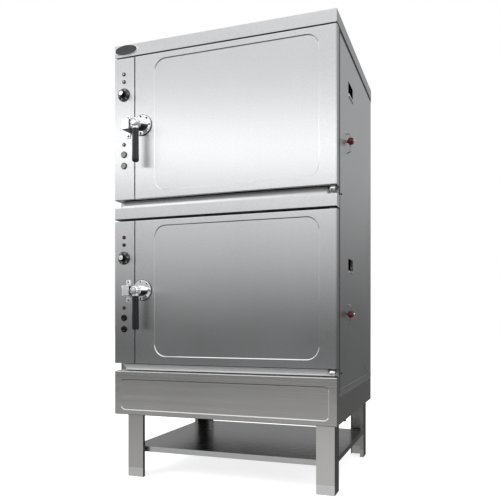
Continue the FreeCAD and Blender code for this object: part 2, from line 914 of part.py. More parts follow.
def rack_guide(deck, side):
    """A ladder of angle ledges on two upright bars, which carries the pans on one side."""
    wall_x = chamber_right if side > 0 else chamber_left
    low = door_bottom(deck)

    def part(x0, x1, ys, zs):
        return box((wall_x - side * x0, wall_x - side * x1), ys, zs)

    top = low + guide_first + (guide_levels - 1) * guide_pitch + guide_rib + guide_bar_above
    bar_zs = (low + false_floor_rise + guide_bar_below, top)
    parts = []
    for y in (frame_back + guide_bar_front, chamber_back - guide_bar_rear):
        parts.append(part(0, guide_bar_wall, (y, y + guide_bar_width), bar_zs))
    ys = (frame_back + guide_front_gap, chamber_back - guide_rear_gap)
    for level in range(guide_levels):
        z = low + guide_first + level * guide_pitch
        rib = part(guide_bar_wall, guide_bar_wall + panel_wall, ys, (z, z + guide_rib))
        ledge = part(guide_bar_wall, guide_bar_wall + guide_width, ys, (z, z + panel_wall))
        parts.append(union([rib, ledge]))
    return group(parts)


def rack_guides():
    return group([rack_guide(deck, side) for deck in range(deck_count) for side in (-1, 1)])


def false_floor(deck):
    """A perforated plate on four upright feet that stands in the water bath."""
    low = door_bottom(deck)
    xs = (chamber_left + false_floor_side_gap, chamber_right - false_floor_side_gap)
    ys = (frame_back + chamber_wall + false_floor_play, chamber_back - false_floor_side_gap)
    top = low + false_floor_rise
    plate = box(xs, ys, (top, top + panel_wall))
    holes = []
    columns = int((xs[1] - xs[0] - floor_hole_pitch) / floor_hole_pitch)
    rows = int((ys[1] - ys[0] - floor_hole_pitch) / floor_hole_pitch)
    x_start = (xs[0] + xs[1] - columns * floor_hole_pitch) / 2
    y_start = (ys[0] + ys[1] - rows * floor_hole_pitch) / 2
    for column in range(columns + 1):
        for row in range(rows + 1):
            place = vec(x_start + column * floor_hole_pitch, y_start + row * floor_hole_pitch, top)
            holes.append(rod(floor_hole_radius, place, vec(0, 0, 1), panel_wall))
    parts = [plate.cut(holes)]
    inset = false_floor_foot_inset
    for x0, x1 in ((xs[0], xs[0] + panel_wall), (xs[1] - panel_wall, xs[1])):
        for y in (ys[0] + inset, ys[1] - inset - false_floor_foot):
            parts.append(box((x0, x1), (y, y + false_floor_foot), (low + chamber_floor_rise, top)))
    return group(parts)


def false_floors():
    return group([false_floor(deck) for deck in range(deck_count)])


def heating_element(deck, y):
    """A hairpin of round tube with a gland nut on each leg, held in the chamber's left wall."""
    z = heater_z(deck)
    far_y = y + 2 * heater_bend
    start_x = chamber_left - heater_tube_out
    end_x = chamber_right - heater_end_gap - heater_bend
    start = vec(start_x, y, z)
    tip = vec(end_x + heater_bend, y + heater_bend, z)
    path = Part.Wire([
        Part.LineSegment(start, vec(end_x, y, z)).toShape(),
        Part.Arc(vec(end_x, y, z), tip, vec(end_x, far_y, z)).toShape(),
        Part.LineSegment(vec(end_x, far_y, z), vec(start_x, far_y, z)).toShape(),
    ])
    section = Part.Wire(Part.Circle(start, vec(1, 0, 0), heater_radius).toShape())
    parts = [path.makePipeShell([section], True, False)]
    for leg_y in (y, far_y):
        gland_start = vec(chamber_left, leg_y, z)
        parts.append(rod(heater_gland_radius, gland_start, vec(1, 0, 0), heater_gland_length))
        stud_start = vec(chamber_left - heater_stud_out, leg_y, z)
        parts.append(rod(heater_stud_radius, stud_start, vec(1, 0, 0), heater_stud_out))
    return union(parts)


def heating_elements():
    return group([heating_element(deck, y) for deck in range(deck_count) for y in heater_ys()])


# Controls

def control_strip(deck):
    """The narrow folded casing to the left of the door, with holes for lamps, knob and buttons."""
    low = door_bottom(deck)
    xs = (-half_width, -half_width + strip_width)
    strip = pan(xs, (0, overlay_depth), (low, low + door_height), panel_wall)
    holes = [(height, lamp_hole_radius) for height in lamp_heights]
    holes.append((knob_height, thermostat_nut_radius + 0.2))
    holes.extend((height, barrel_hole_radius) for height in button_heights)
    for height, radius in holes:
        strip = strip.cut(rod(radius, vec(control_x, 0, low + height), vec(0, 1, 0), panel_wall))
    return strip


def signal_lamps():
    lamps = []
    for deck in range(deck_count):
        for height in lamp_heights:
            z = door_bottom(deck) + height
            front = -lamp_head_length
            head = rod(lamp_head_radius, vec(control_x, front, z), vec(0, 1, 0), lamp_head_length)
            head = soften(head, lamp_head_length / 2, lambda edge: near(edge.BoundBox.YMax, front))
            body = rod(lamp_body_radius, vec(control_x, 0, z), vec(0, 1, 0), lamp_body_length)
            lamps.append(union([head, body]))
    return group(lamps)


def thermostat(deck):
    """Body behind the strip with a threaded neck, a thin capillary and the bulb in the chamber."""
    z = door_bottom(deck) + knob_height
    high = bulb_z(deck)
    half = thermostat_width / 2
    back = panel_wall + thermostat_depth
    body = box((control_x - half, control_x + half), (panel_wall, back), (z - half, z + half))
    neck = rod(thermostat_nut_radius, vec(control_x, 0, z), vec(0, 1, 0), panel_wall)
    bore = rod(knob_shaft_radius + shaft_clearance, vec(control_x, 0, z), vec(0, 1, 0), knob_bore_depth)
    body = union([body, neck]).cut(bore)
    x = control_x + half / 2
    bulb_x = chamber_left + bulb_wall_gap
    run_back = rod(capillary_radius, vec(x, back, z), vec(0, 1, 0), capillary_y - back)
    riser = rod(capillary_radius, vec(x, capillary_y, z), vec(0, 0, 1), high - z)
    across = rod(capillary_radius, vec(x, capillary_y, high), vec(1, 0, 0), bulb_x - x)
    knees = [Part.makeSphere(capillary_radius, vec(x, capillary_y, height)) for height in (z, high)]
    bulb = rod(bulb_radius, vec(bulb_x, capillary_y - bulb_front, high), vec(0, 1, 0), bulb_length)
    return union([body, run_back, riser, across, bulb] + knees)


def thermostats():
    return group([thermostat(deck) for deck in range(deck_count)])


def knob(deck):
    """Skirted knob: a wide flat skirt, a narrow fluted grip and the shaft that enters the thermostat."""
    z = door_bottom(deck) + knob_height
    front = -knob_length
    skirt_front = -knob_gap - knob_skirt_wall
    skirt = rod(knob_skirt_radius, vec(control_x, skirt_front, z), vec(0, 1, 0), knob_skirt_wall)
    skirt = soften(skirt, 2, lambda edge: near(edge.BoundBox.YMax, skirt_front))
    grip = rod(knob_grip_radius, vec(control_x, front, z), vec(0, 1, 0), knob_length - knob_gap - 1)
    grip = soften(grip, 1.5, lambda edge: near(edge.BoundBox.YMax, front))
    shaft = rod(knob_shaft_radius, vec(control_x, -knob_gap - 1, z), vec(0, 1, 0), knob_shaft_length)
    body = union([skirt, grip, shaft])
    reach = knob_grip_radius + knob_flute_out
    flutes = []
    for step in range(knob_flutes):
        angle = 2 * math.pi * step / knob_flutes
        place = vec(control_x + reach * math.cos(angle), front, z + reach * math.sin(angle))
        flutes.append(rod(knob_flute_radius, place, vec(0, 1, 0), skirt_front - front))
    return body.cut(flutes)


def switch_block(deck, height):
    """Bezel and barrel through the strip, with the contact block behind it."""
    z = door_bottom(deck) + height
    bezel = rod(bezel_radius, vec(control_x, -bezel_height, z), vec(0, 1, 0), bezel_height)
    bezel = soften(bezel, 1.2, lambda edge: near(edge.BoundBox.YMax, -bezel_height))
    barrel = rod(barrel_radius, vec(control_x, 0, z), vec(0, 1, 0), barrel_depth)
    half = contact_block / 2
    block_ys = (barrel_depth, barrel_depth + contact_block_depth)
    block = box((control_x - half, control_x + half), block_ys, (z - half, z + half))
    bore = rod(button_radius + button_clearance, vec(control_x, -10, z), vec(0, 1, 0), 10 + button_depth)
    return union([bezel, barrel, block]).cut(bore)


def switch_blocks():
    return group([switch_block(deck, height) for deck in range(deck_count) for height in button_heights])


def button(deck, height):
    """A push button with a dished face."""
    z = door_bottom(deck) + height
    face = -button_stand_out
    length = button_stand_out + button_depth - button_travel - button_end_gap
    cap = rod(button_radius, vec(control_x, face, z), vec(0, 1, 0), length)
    cap = soften(cap, 1.2, lambda edge: near(edge.BoundBox.YMax, face))
    centre = vec(control_x, face - button_dish_ball + button_dish_depth, z)
    return cap.cut(Part.makeSphere(button_dish_ball, centre))


def electrical_panel():
    """Mounting plate on the left side panel with a contactor per deck and a terminal block."""
    base = door_bottom(0)
    front = -inner_half + gear_plate_wall

    def part(x0, width, y, depth, rise, height):
        return box((x0, x0 + width), (y, y + depth), (base + rise, base + rise + height))

    low, high = gear_plate_rise, gear_plate_height
    parts = [part(-inner_half, gear_plate_wall, gear_plate_y, gear_plate_depth, low, high)]
    for rise in contactor_rises:
        parts.append(part(front, contactor_width, contactor_y, contactor_depth, rise, contactor_height))
    parts.append(part(front, terminal_width, terminal_y, terminal_depth, terminal_rise, terminal_height))
    return group(parts)


# Latch

def latch_z(deck):
    return door_bottom(deck) + latch_height


def latch_flange(deck):
    """Round flange with a tapered neck, cut off square at the door's edge, and its screws."""
    z = latch_z(deck)
    plate = rod(flange_radius, vec(latch_x, -flange_wall, z), vec(0, 1, 0), flange_wall)
    plate = soften(plate, 1.5, lambda edge: near(edge.BoundBox.YMax, -flange_wall))
    neck_start = vec(latch_x, -flange_wall, z)
    neck = Part.makeCone(neck_root_radius, neck_tip_radius, neck_length, neck_start, vec(0, -1, 0))
    body = union([plate, neck])
    off_xs = (latch_x - 2 * flange_radius, door_left)
    off_zs = (z - 2 * flange_radius, z + 2 * flange_radius)
    body = body.cut(box(off_xs, (-flange_wall - neck_length - 1, 1), off_zs))
    screws = []
    for degrees in flange_screw_angles:
        across = flange_screw_circle * math.cos(math.radians(degrees))
        up = flange_screw_circle * math.sin(math.radians(degrees))
        screws.append(slotted_head(vec(latch_x + across, -flange_wall, z + up)))
    return group([body] + screws)


def latch_lever(deck):
    """Hub with a domed end, the pawl that points to the keeper and the tang inside the grip."""
    z = latch_z(deck)
    hub_back = -flange_wall - neck_length - hub_gap
    hub_front = hub_back - hub_length
    hub = rod(hub_radius, vec(latch_x, hub_front, z), vec(0, 1, 0), hub_length)
    hub = soften(hub, hub_rounding, lambda edge: near(edge.BoundBox.YMax, hub_front))
    pawl_zs = (z - pawl_height / 2, z + pawl_height / 2)
    pawl = box((latch_x - pawl_reach, latch_x), (hub_back - pawl_wall, hub_back), pawl_zs)
    round_tip = rod(pawl_reach, vec(latch_x, hub_back - pawl_wall, z), vec(0, 1, 0), pawl_wall)
    pawl = pawl.common(round_tip)
    grip_top = z - grip_start
    collar_radius = grip_radius - grip_collar_step
    collar = rod(collar_radius, vec(latch_x, -grip_axis_out, grip_top), vec(0, 0, 1), grip_start)
    tang_length = grip_length - grip_end_wall
    tang_start = vec(latch_x, -grip_axis_out, grip_top - tang_length)
    tang = rod(tang_radius, tang_start, vec(0, 0, 1), tang_length)
    return union([hub, pawl, collar, tang])


def latch_grip(deck):
    """The black hand grip, slightly thinner at its top, with a rounded end."""
    top = latch_z(deck) - grip_start
    bottom = top - grip_length
    start = vec(latch_x, -grip_axis_out, bottom)
    cone = Part.makeCone(grip_radius, grip_radius - grip_taper, grip_length, start, vec(0, 0, 1))
    cone = soften(cone, 5, lambda edge: near(edge.BoundBox.ZMax, bottom))
    hollow_length = grip_length - grip_end_wall
    hollow_start = vec(latch_x, -grip_axis_out, top - hollow_length)
    return cone.cut(rod(tang_radius, hollow_start, vec(0, 0, 1), hollow_length))


def keeper(deck):
    """Base plate on the strip with a hooked block, open towards the pawl."""
    z = latch_z(deck)
    lip_right = latch_x - pawl_reach - keeper_gap
    hub_back = -flange_wall - neck_length - hub_gap
    lip_back = hub_back - pawl_wall - keeper_play
    front = lip_back - keeper_lip_wall
    xs = (lip_right - keeper_block_width, lip_right)
    zs = (z - keeper_block_height / 2, z + keeper_block_height / 2)
    strip_edge = -half_width + strip_width
    block = box(xs, (front, -keeper_plate_wall), zs)
    block = soften(block, 2, lambda edge: at_depth(edge, front))
    block = block.cut(box((xs[0] + keeper_lip_wall, xs[1]), (lip_back, hub_back + keeper_play), zs))
    plate_xs = (strip_edge - keeper_plate_width, strip_edge)
    plate_zs = (z - keeper_plate_height / 2, z + keeper_plate_height / 2)
    plate = round_slab(plate_xs, plate_zs, keeper_plate_radius, (-keeper_plate_wall, 0))
    foot = block.common(box((plate_xs[0], lip_right), (front, 0), zs))
    hook = union([plate, foot])
    for place in keeper_screw_places(deck):
        hook = hook.cut(rod(screw_hole_radius, place, vec(0, 1, 0), keeper_plate_wall))
    return hook


def keeper_screw_places(deck):
    x = -half_width + strip_width - keeper_screw_inset
    z = latch_z(deck)
    return [vec(x, -keeper_plate_wall, z + side * keeper_screw_spacing / 2) for side in (-1, 1)]


def latch_keepers():
    return group([keeper(deck) for deck in range(deck_count)])


def keeper_screws():
    screws = []
    for deck in range(deck_count):
        for place in keeper_screw_places(deck):
            shank = rod(screw_shank_radius, place, vec(0, 1, 0), keeper_plate_wall)
            screws.append(union([slotted_head(place), shank]))
    return group(screws)


# Doors

def door_zs(deck):
    return (door_bottom(deck), door_bottom(deck) + door_height)


def door_skin(deck):
    """Folded outer pan with the large pressed rectangle and a bush block at each pivot."""
    zs = door_zs(deck)
    skin_back = door_depth - panel_wall
    skin = pan((door_left, door_right), (0, skin_back), zs, panel_wall)
    dish_xs = (door_left + dish_side_left, door_right - dish_side_right)
    dish_zs = (zs[0] + dish_bottom, zs[1] - dish_top)
    backing = round_slab(dish_xs, dish_zs, dish_radius, (panel_wall / 2, panel_wall + dish_depth))
    pocket = pressed_pocket(dish_xs, dish_zs, dish_radius, dish_depth, dish_slope, 0)
    skin = skin.fuse(backing).cut(pocket)
    half = bush_size / 2
    for low, high in ((zs[0], zs[0] + bush_depth), (zs[1] - bush_depth, zs[1])):
        block_ys = (panel_wall, pivot_back + half)
        block = box((pivot_x - half, door_right - panel_wall), block_ys, (low, high))
        skin = skin.fuse(block)
    skin = skin.removeSplitter()
    bore_radius = pivot_radius + pivot_clearance
    for low, high in ((zs[0] - 1, zs[0] + bush_depth), (zs[1] - bush_depth, zs[1] + 1)):
        skin = skin.cut(rod(bore_radius, vec(pivot_x, pivot_back, low), vec(0, 0, 1), high - low))
    return skin


def door_liner(deck):
    """Flat inner sheet that closes the door, pressed out towards the chamber inside the gasket."""
    zs = door_zs(deck)
    sheet = box((door_left, door_right), (door_depth - panel_wall, door_depth), zs)
    xs = (chamber_left + gasket_inset, chamber_right - gasket_inset)
    dish_zs = (mouth_zs(deck)[0] + gasket_inset, mouth_zs(deck)[1] - gasket_inset)
    raised = round_slab(xs, dish_zs, mouth_radius, (door_depth - panel_wall, door_depth + liner_dish_depth))
    inside = round_slab(
        (xs[0] + panel_wall, xs[1] - panel_wall),
        (dish_zs[0] + panel_wall, dish_zs[1] - panel_wall),
        mouth_radius - panel_wall,
        (door_depth - panel_wall, door_depth + liner_dish_depth - panel_wall),
    )
    return sheet.fuse(raised).cut(inside).removeSplitter()


def door_core(deck):
    """Insulation board between skin and liner."""
    zs = door_zs(deck)
    xs = (door_left + core_margin, door_right - core_margin - pivot_side)
    front = panel_wall + dish_depth + core_clearance
    return box(xs, (front, door_depth - panel_wall), (zs[0] + core_margin, zs[1] - core_margin))


def door_gasket(deck):
    """Soft ring round the mouth, just clear of the front frame."""
    mouth = mouth_zs(deck)
    ys = (door_depth, overlay_depth - gasket_gap)
    step = gasket_inset
    outer = step + gasket_width
    ring = round_slab(
        (chamber_left - outer, chamber_right + outer),
        (mouth[0] - outer, mouth[1] + outer),
        mouth_radius + outer,
        ys,
    )
    hole = round_slab(
        (chamber_left - step, chamber_right + step),
        (mouth[0] - step, mouth[1] + step),
        mouth_radius + step,
        (ys[0] - 1, ys[1] + 1),
    )
    ring = ring.cut(hole)
    back = ys[1]
    return soften(ring, 2, lambda edge: at_depth(edge, back))


def pivot_places():
    """For each pivot: the height of the door's edge and the direction out of the door."""
    places = []
    for deck in range(deck_count):
        zs = door_zs(deck)
        places.append((zs[0], -1))
        places.append((zs[1], 1))
    return places


def bracket_gap_and_wall(out):
    return (bracket_gap, bracket_wall) if out < 0 else (bracket_gap, top_bracket_wall)


def hinge_brackets():
    """An arm from the front frame over or under the door at each pivot."""
    brackets = []
    front = pivot_back - bracket_nose

    def upright_in_front(edge):
        return along(edge, vec(0, 0, 1)) and near(edge.BoundBox.Center.y, front)

    for edge_z, out in pivot_places():
        gap, wall = bracket_gap_and_wall(out)
        z0 = edge_z + out * gap
        z1 = z0 + out * wall
        xs = (pivot_x - bracket_width / 2, pivot_x + bracket_width / 2 - bracket_side_play)
        arm = box(xs, (front, overlay_depth), (z0, z1))
        arm = soften(arm, bracket_radius, upright_in_front)
        hole = rod(pivot_radius, vec(pivot_x, pivot_back, min(z0, z1)), vec(0, 0, 1), wall)
        brackets.append(arm.cut(hole))
    return group(brackets)


def hinge_pins():
    """Pivot pins: those below the doors end in a domed nut under the bracket."""
    pins = []
    for edge_z, out in pivot_places():
        gap, wall = bracket_gap_and_wall(out)
        inside = edge_z - out * (bush_depth - pin_end_gap)
        outside = edge_z + out * (gap + wall)
        low = min(inside, outside)
        pin = rod(pivot_radius, vec(pivot_x, pivot_back, low), vec(0, 0, 1), abs(outside - inside))
        if out < 0:
            base = vec(pivot_x, pivot_back, outside - dome_collar)
            collar = rod(dome_radius, base, vec(0, 0, 1), dome_collar)
            dome = Part.makeSphere(dome_radius, base)
            reach = (-dome_radius, dome_radius)
            lower_zs = (outside - dome_collar - dome_rise, outside - dome_collar)
            lower = box([pivot_x + x for x in reach], [pivot_back + y for y in reach], lower_zs)
            pin = union([pin, collar, dome.common(lower)])
        pins.append(pin)
    return group(pins)


# Water, drain, vent and cable inlet

def pipe_block(place, half):
    """The square fitting where two pipes meet."""
    size = 2 * half
    return Part.makeBox(size, size, size, place - vec(half, half, half))


def pipe_runs(radius, places, joined, ends):
    """Straight pipes between square fittings, and open pipe ends that start at a fitting."""
    half = radius + fitting_extra
    parts = [pipe_block(place, half) for place in places]
    for first, second in joined:
        axis = places[second] - places[first]
        length = axis.Length - 2 * half
        axis.normalize()
        parts.append(rod(radius, places[first] + axis * half, axis, length))
    for index, end in ends:
        axis = end - places[index]
        length = axis.Length - half
        axis.normalize()
        parts.append(rod(radius, places[index] + axis * half, axis, length))
    return group(parts)


def valve_body(deck):
    """A small ball valve in the gap beside the chamber; its stem comes out through the side panel."""
    z = valve_z(deck)
    half = valve_body_length / 2
    body = rod(valve_body_radius, vec(valve_x, valve_y - half, z), vec(0, 1, 0), valve_body_length)
    elbow_y = valve_y - half - pipe_radius
    side = pipe_radius + fitting_extra
    elbow = box((valve_x - side, valve_x + side), (elbow_y - side, valve_y - half), (z - side, z + side))
    spout = rod(pipe_radius, vec(chamber_right - 1, elbow_y, z), vec(1, 0, 0), valve_x - chamber_right + 1)
    bonnet_length = inner_half - valve_x - valve_seat_gap
    bonnet = rod(valve_stem_radius + 2, vec(valve_x, valve_y, z), vec(1, 0, 0), bonnet_length)
    bore_start = vec(valve_x, valve_y, z)
    bore = rod(valve_stem_radius + shaft_clearance, bore_start, vec(1, 0, 0), inner_half - valve_x)
    return union([body, elbow, spout, bonnet]).cut(bore)


def valve_handle(deck):
    """Red butterfly handle: a hub on the stem with two wings, narrow in the middle and flared outwards."""
    z = valve_z(deck)
    foot = body_half + valve_hub_out
    stem_length = foot + valve_stem_grip - valve_x - 1
    stem = rod(valve_stem_radius, vec(valve_x + 1, valve_y, z), vec(1, 0, 0), stem_length)
    hub = rod(valve_hub_radius, vec(foot, valve_y, z), vec(1, 0, 0), valve_hub_length)
    x0 = foot + valve_wing_start
    x1 = body_half + valve_wing_out
    middle = (x0 + x1) / 2
    outline = [
        (x0, -valve_wing_root),
        (x0, valve_wing_root),
        (middle, valve_wing_waist),
        (x1, valve_wing_tip),
        (x1, -valve_wing_tip),
        (middle, -valve_wing_waist),
    ]
    points = [vec(x, valve_y - valve_wing_wall / 2, z + up) for x, up in outline]
    wings = Part.Face(Part.makePolygon(points + points[:1])).extrude(vec(0, valve_wing_wall, 0))
    return union([stem, hub, wings])


def level_tube(deck):
    """A thin tube on the side panel behind the valve handle, bent in to the panel at both ends."""
    y = valve_y + level_tube_behind
    z = valve_z(deck)
    low = z - level_tube_half
    high = z + level_tube_half
    bend = level_tube_bend
    x0 = body_half
    x1 = body_half + level_tube_out
    inset = bend * (1 - math.sqrt(0.5))
    lower_bend = (vec(x1 - bend, y, low), vec(x1 - inset, y, low + inset), vec(x1, y, low + bend))
    upper_bend = (vec(x1, y, high - bend), vec(x1 - inset, y, high - inset), vec(x1 - bend, y, high))
    path = Part.Wire([
        Part.LineSegment(vec(x0, y, low), lower_bend[0]).toShape(),
        Part.Arc(*lower_bend).toShape(),
        Part.LineSegment(lower_bend[2], upper_bend[0]).toShape(),
        Part.Arc(*upper_bend).toShape(),
        Part.LineSegment(upper_bend[2], vec(x0, y, high)).toShape(),
    ])
    section = Part.Wire(Part.Circle(vec(x0, y, low), vec(1, 0, 0), level_tube_radius).toShape())
    return path.makePipeShell([section], True, False)


def water_valves():
    """A valve and a level tube for each chamber, on the right side panel."""
    valves = [valve_body(deck) for deck in range(deck_count)]
    tubes = [level_tube(deck) for deck in range(deck_count)]
    return group(valves + tubes)


def water_pipes():
    """Rear end, a run along the right side and a riser that feeds both valves."""
    riser = [vec(valve_x, riser_y, valve_z(deck)) for deck in range(deck_count)]
    branch = vec(valve_x, riser_y, rear_run_z)
    corners = [vec(valve_x, rear_run_y, rear_run_z), vec(inlet_x, rear_run_y, rear_run_z)]
    valve_end = valve_y + valve_body_length / 2
    places = riser + [branch] + corners
    last = deck_count - 1
    joined = [(index, index + 1) for index in range(last - 1)]
    joined.extend([(last - 1, deck_count), (deck_count, last)])
    joined.extend([(deck_count, deck_count + 1), (deck_count + 1, deck_count + 2)])
    ends = [(deck, vec(valve_x, valve_end, valve_z(deck))) for deck in range(deck_count)]
    ends.append((deck_count + 2, vec(inlet_x, body_back, rear_run_z)))
    return pipe_runs(pipe_radius, places, joined, ends)


def water_inlet():
    """The hose spigot on the back panel, with its bore and a hexagon at its root."""
    start = vec(inlet_x, body_back, rear_run_z)
    across = vec(0, 1, 0)
    tube_start = start + across * spigot_hex
    tube_length = spigot_length - spigot_hex
    corners = []
    for step in range(7):
        angle = math.radians(60 * step)
        sideways = spigot_hex_radius * math.cos(angle)
        upwards = spigot_hex_radius * math.sin(angle)
        corners.append(start + vec(sideways, 0, upwards))
    nut = Part.Face(Part.makePolygon(corners)).extrude(across * spigot_hex)
    bore_radius = spigot_radius - spigot_wall
    nut = nut.cut(rod(bore_radius, start, across, spigot_hex))
    tube = rod(spigot_radius, tube_start, across, tube_length)
    tube = tube.cut(rod(bore_radius, tube_start, across, tube_length))
    return group([nut, tube])


def drain_pipes():
    """One pipe down the right side takes both baths' drains, then forward to the outlet under the apron."""
    stack = [vec(valve_x, drain_y, drain_z(deck)) for deck in range(deck_count)]
    foot = vec(valve_x, drain_y, drain_run_z)
    knee = vec(valve_x, drain_outlet_y, drain_run_z)
    places = [foot] + stack + [knee]
    joined = [(index, index + 1) for index in range(deck_count)]
    joined.append((0, deck_count + 1))
    ends = []
    for deck in range(deck_count):
        ends.append((deck + 1, vec(chamber_right - drain_inside, drain_y, drain_z(deck))))
    outlet = apron_bottom - drain_sleeve_drop + drain_tail
    ends.append((deck_count + 1, vec(valve_x, drain_outlet_y, outlet)))
    return pipe_runs(drain_radius, places, joined, ends)


def drain_sleeve():
    """The dark hose end on the drain's outlet, which shows just under the right apron."""
    bottom = apron_bottom - drain_sleeve_drop
    length = drain_sleeve_drop - drain_sleeve_gap
    place = vec(valve_x, drain_outlet_y, bottom)
    sleeve = rod(drain_sleeve_radius, place, vec(0, 0, 1), length)
    sleeve = soften(sleeve, drain_sleeve_rounding, lambda edge: near(edge.BoundBox.ZMax, bottom))
    return sleeve.cut(rod(drain_radius, place, vec(0, 0, 1), length))


def steam_vents():
    """A tube from each chamber's back wall to the outside, wider where a hose goes over it."""
    vents = []
    for deck in range(deck_count):
        z = door_bottom(deck) + vent_rise
        inner_length = body_back - chamber_back
        inside = rod(vent_neck_radius, vec(vent_x, chamber_back, z), vec(0, 1, 0), inner_length)
        spigot = rod(vent_radius, vec(vent_x, body_back, z), vec(0, 1, 0), vent_out)
        bore_start = vec(vent_x, chamber_back, z)
        bore = rod(vent_neck_radius - vent_wall, bore_start, vec(0, 1, 0), inner_length + vent_out)
        vents.append(union([inside, spigot]).cut(bore))
    return group(vents)


def cable_gland():
    """The empty cable inlet: a clamping gland in the back panel."""
    x = gland_x
    cap_start = body_back + gland_out - gland_cap_length
    flange = rod(gland_body_radius, vec(x, body_back, gland_z), vec(0, 1, 0), gland_out - gland_cap_length)
    cap_radius = gland_body_radius - gland_cap_step
    cap = rod(cap_radius, vec(x, cap_start, gland_z), vec(0, 1, 0), gland_cap_length)
    cap_end = body_back + gland_out
    cap = soften(cap, gland_cap_rounding, lambda edge: near(edge.BoundBox.YMin, cap_end))
    inner_start = vec(x, back_inner - gland_nut_length, gland_z)
    throat = rod(gland_hole_radius + gland_wall, inner_start, vec(0, 1, 0), panel_wall + gland_nut_length)
    nut = rod(gland_body_radius, inner_start, vec(0, 1, 0), gland_nut_length)
    body = union([flange, cap, throat, nut])
    bore = rod(gland_hole_radius, inner_start, vec(0, 1, 0), gland_nut_length + panel_wall + gland_out)
    return body.cut(bore)


def badge_plate():
    """A bare oval plate near the left end of the top cover's front edge."""
    centre = vec(-half_width + badge_from_edge, 0, cabinet_top - fascia_height / 2)
    ellipse = Part.Ellipse(
        centre + vec(badge_length / 2, 0, 0),
        centre + vec(0, 0, badge_height / 2),
        centre,
    )
    plate = Part.Face(Part.Wire(ellipse.toShape())).extrude(vec(0, -badge_wall, 0))
    return soften(plate, badge_rounding, lambda edge: near(edge.BoundBox.YMax, -badge_wall))


pieces = {
    "stand_legs": stand_legs(),
    "stand_front_fascia": stand_front_fascia(),
    "stand_aprons": stand_aprons(),
    "stand_top_rails": stand_top_rails(),
    "stand_shelf": stand_shelf(),
    "base_tray": base_tray(),
    "corner_posts": corner_posts(),
    "side_panel_left": side_panel(-1),
    "side_panel_right": side_panel_right(),
    "back_panel": back_panel(),
    "top_cover": top_cover(),
    "mid_fascia": mid_fascia(),
    "front_frame": front_frame(),
    "drip_gutters": drip_gutters(),
    "insulation": insulation(),
    "rack_guides": rack_guides(),
    "false_floors": false_floors(),
    "heating_elements": heating_elements(),
    "signal_lamps": signal_lamps(),
    "thermostats": thermostats(),
    "switch_blocks": switch_blocks(),
    "electrical_panel": electrical_panel(),
    "latch_keepers": latch_keepers(),
    "keeper_screws": keeper_screws(),
    "hinge_brackets": hinge_brackets(),
    "hinge_pins": hinge_pins(),
    "water_valves": water_valves(),
    "water_pipes": water_pipes(),
    "water_inlet": water_inlet(),
    "drain_pipes": drain_pipes(),
    "drain_sleeve": drain_sleeve(),
    "steam_vents": steam_vents(),
    "cable_gland": cable_gland(),
    "badge_plate": badge_plate(),
}
deck_names = ("lower", "upper")
for deck, name in enumerate(deck_names):
    pieces["chamber_" + name] = chamber(deck)
    pieces["control_strip_" + name] = control_strip(deck)
    pieces["door_skin_" + name] = door_skin(deck)
    pieces["door_liner_" + name] = door_liner(deck)
    pieces["door_core_" + name] = door_core(deck)
    pieces["door_gasket_" + name] = door_gasket(deck)
    pieces["latch_flange_" + name] = latch_flange(deck)
    pieces["latch_lever_" + name] = latch_lever(deck)
    pieces["latch_grip_" + name] = latch_grip(deck)
    pieces["thermostat_knob_" + name] = knob(deck)
    pieces["start_button_" + name] = button(deck, button_heights[0])
    pieces["stop_button_" + name] = button(deck, button_heights[1])
    pieces["valve_handle_" + name] = valve_handle(deck)

os.makedirs("parts", exist_ok=True)
for name, shape in pieces.items():
    placed = shape.copy()
    placed.translate(vec(shift_x, shift_y, 0))
    placed.exportStep("parts/" + name + ".step")
    sizes = placed.BoundBox
    low_corner = (round(sizes.XMin, 1), round(sizes.YMin, 1), round(sizes.ZMin, 1))
    high_corner = (round(sizes.XMax, 1), round(sizes.YMax, 1), round(sizes.ZMax, 1))
    print(name, len(placed.Solids), placed.isValid(), round(placed.Volume), low_corner, high_corner)
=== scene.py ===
# %% [markdown]
# A two-deck steam cabinet on an open stand, dressed for a studio picture.
# The solids come from the construction model and stay where they are. This lesson gives them their
# finishes: brushed sheet, bright latches, black grips, red lamps. A few small pieces that the eye goes to,
# such as the latches and the knobs, are modelled again here with more shape.

import math

import bpy
from mathutils import Matrix, Vector


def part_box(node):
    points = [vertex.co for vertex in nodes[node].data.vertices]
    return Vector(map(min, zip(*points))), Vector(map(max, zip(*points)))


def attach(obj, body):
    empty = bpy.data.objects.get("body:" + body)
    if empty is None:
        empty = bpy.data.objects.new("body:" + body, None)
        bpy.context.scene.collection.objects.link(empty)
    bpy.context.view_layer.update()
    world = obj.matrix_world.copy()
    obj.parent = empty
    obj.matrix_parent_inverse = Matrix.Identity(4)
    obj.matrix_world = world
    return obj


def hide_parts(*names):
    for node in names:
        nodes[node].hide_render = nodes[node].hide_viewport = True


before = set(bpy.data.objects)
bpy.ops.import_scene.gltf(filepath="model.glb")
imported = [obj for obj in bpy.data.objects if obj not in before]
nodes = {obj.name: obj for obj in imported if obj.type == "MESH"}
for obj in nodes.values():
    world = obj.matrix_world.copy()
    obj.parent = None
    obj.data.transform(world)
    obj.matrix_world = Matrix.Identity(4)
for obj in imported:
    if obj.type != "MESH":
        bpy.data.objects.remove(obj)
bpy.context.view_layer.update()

# %% [markdown]
# All sizes of the cabinet are easiest to give as on a workshop drawing: millimetres to the right of the
# middle, back from the door fronts and up from the floor. One function turns such a point into the scene's
# metres, using the top cover and a door front, so nothing has to be fitted by hand.

# %% Workshop coordinates
cover_low, cover_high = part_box("top_cover")
middle_x = (cover_low[0] + cover_high[0]) / 2
front_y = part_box("door_skin_lower")[0][1]
MM = 0.001


def place(x, y, z):
    """A point in the scene from millimetres right of the middle, behind the door fronts and up."""
    return Vector((middle_x + x * MM, front_y + y * MM, z * MM))


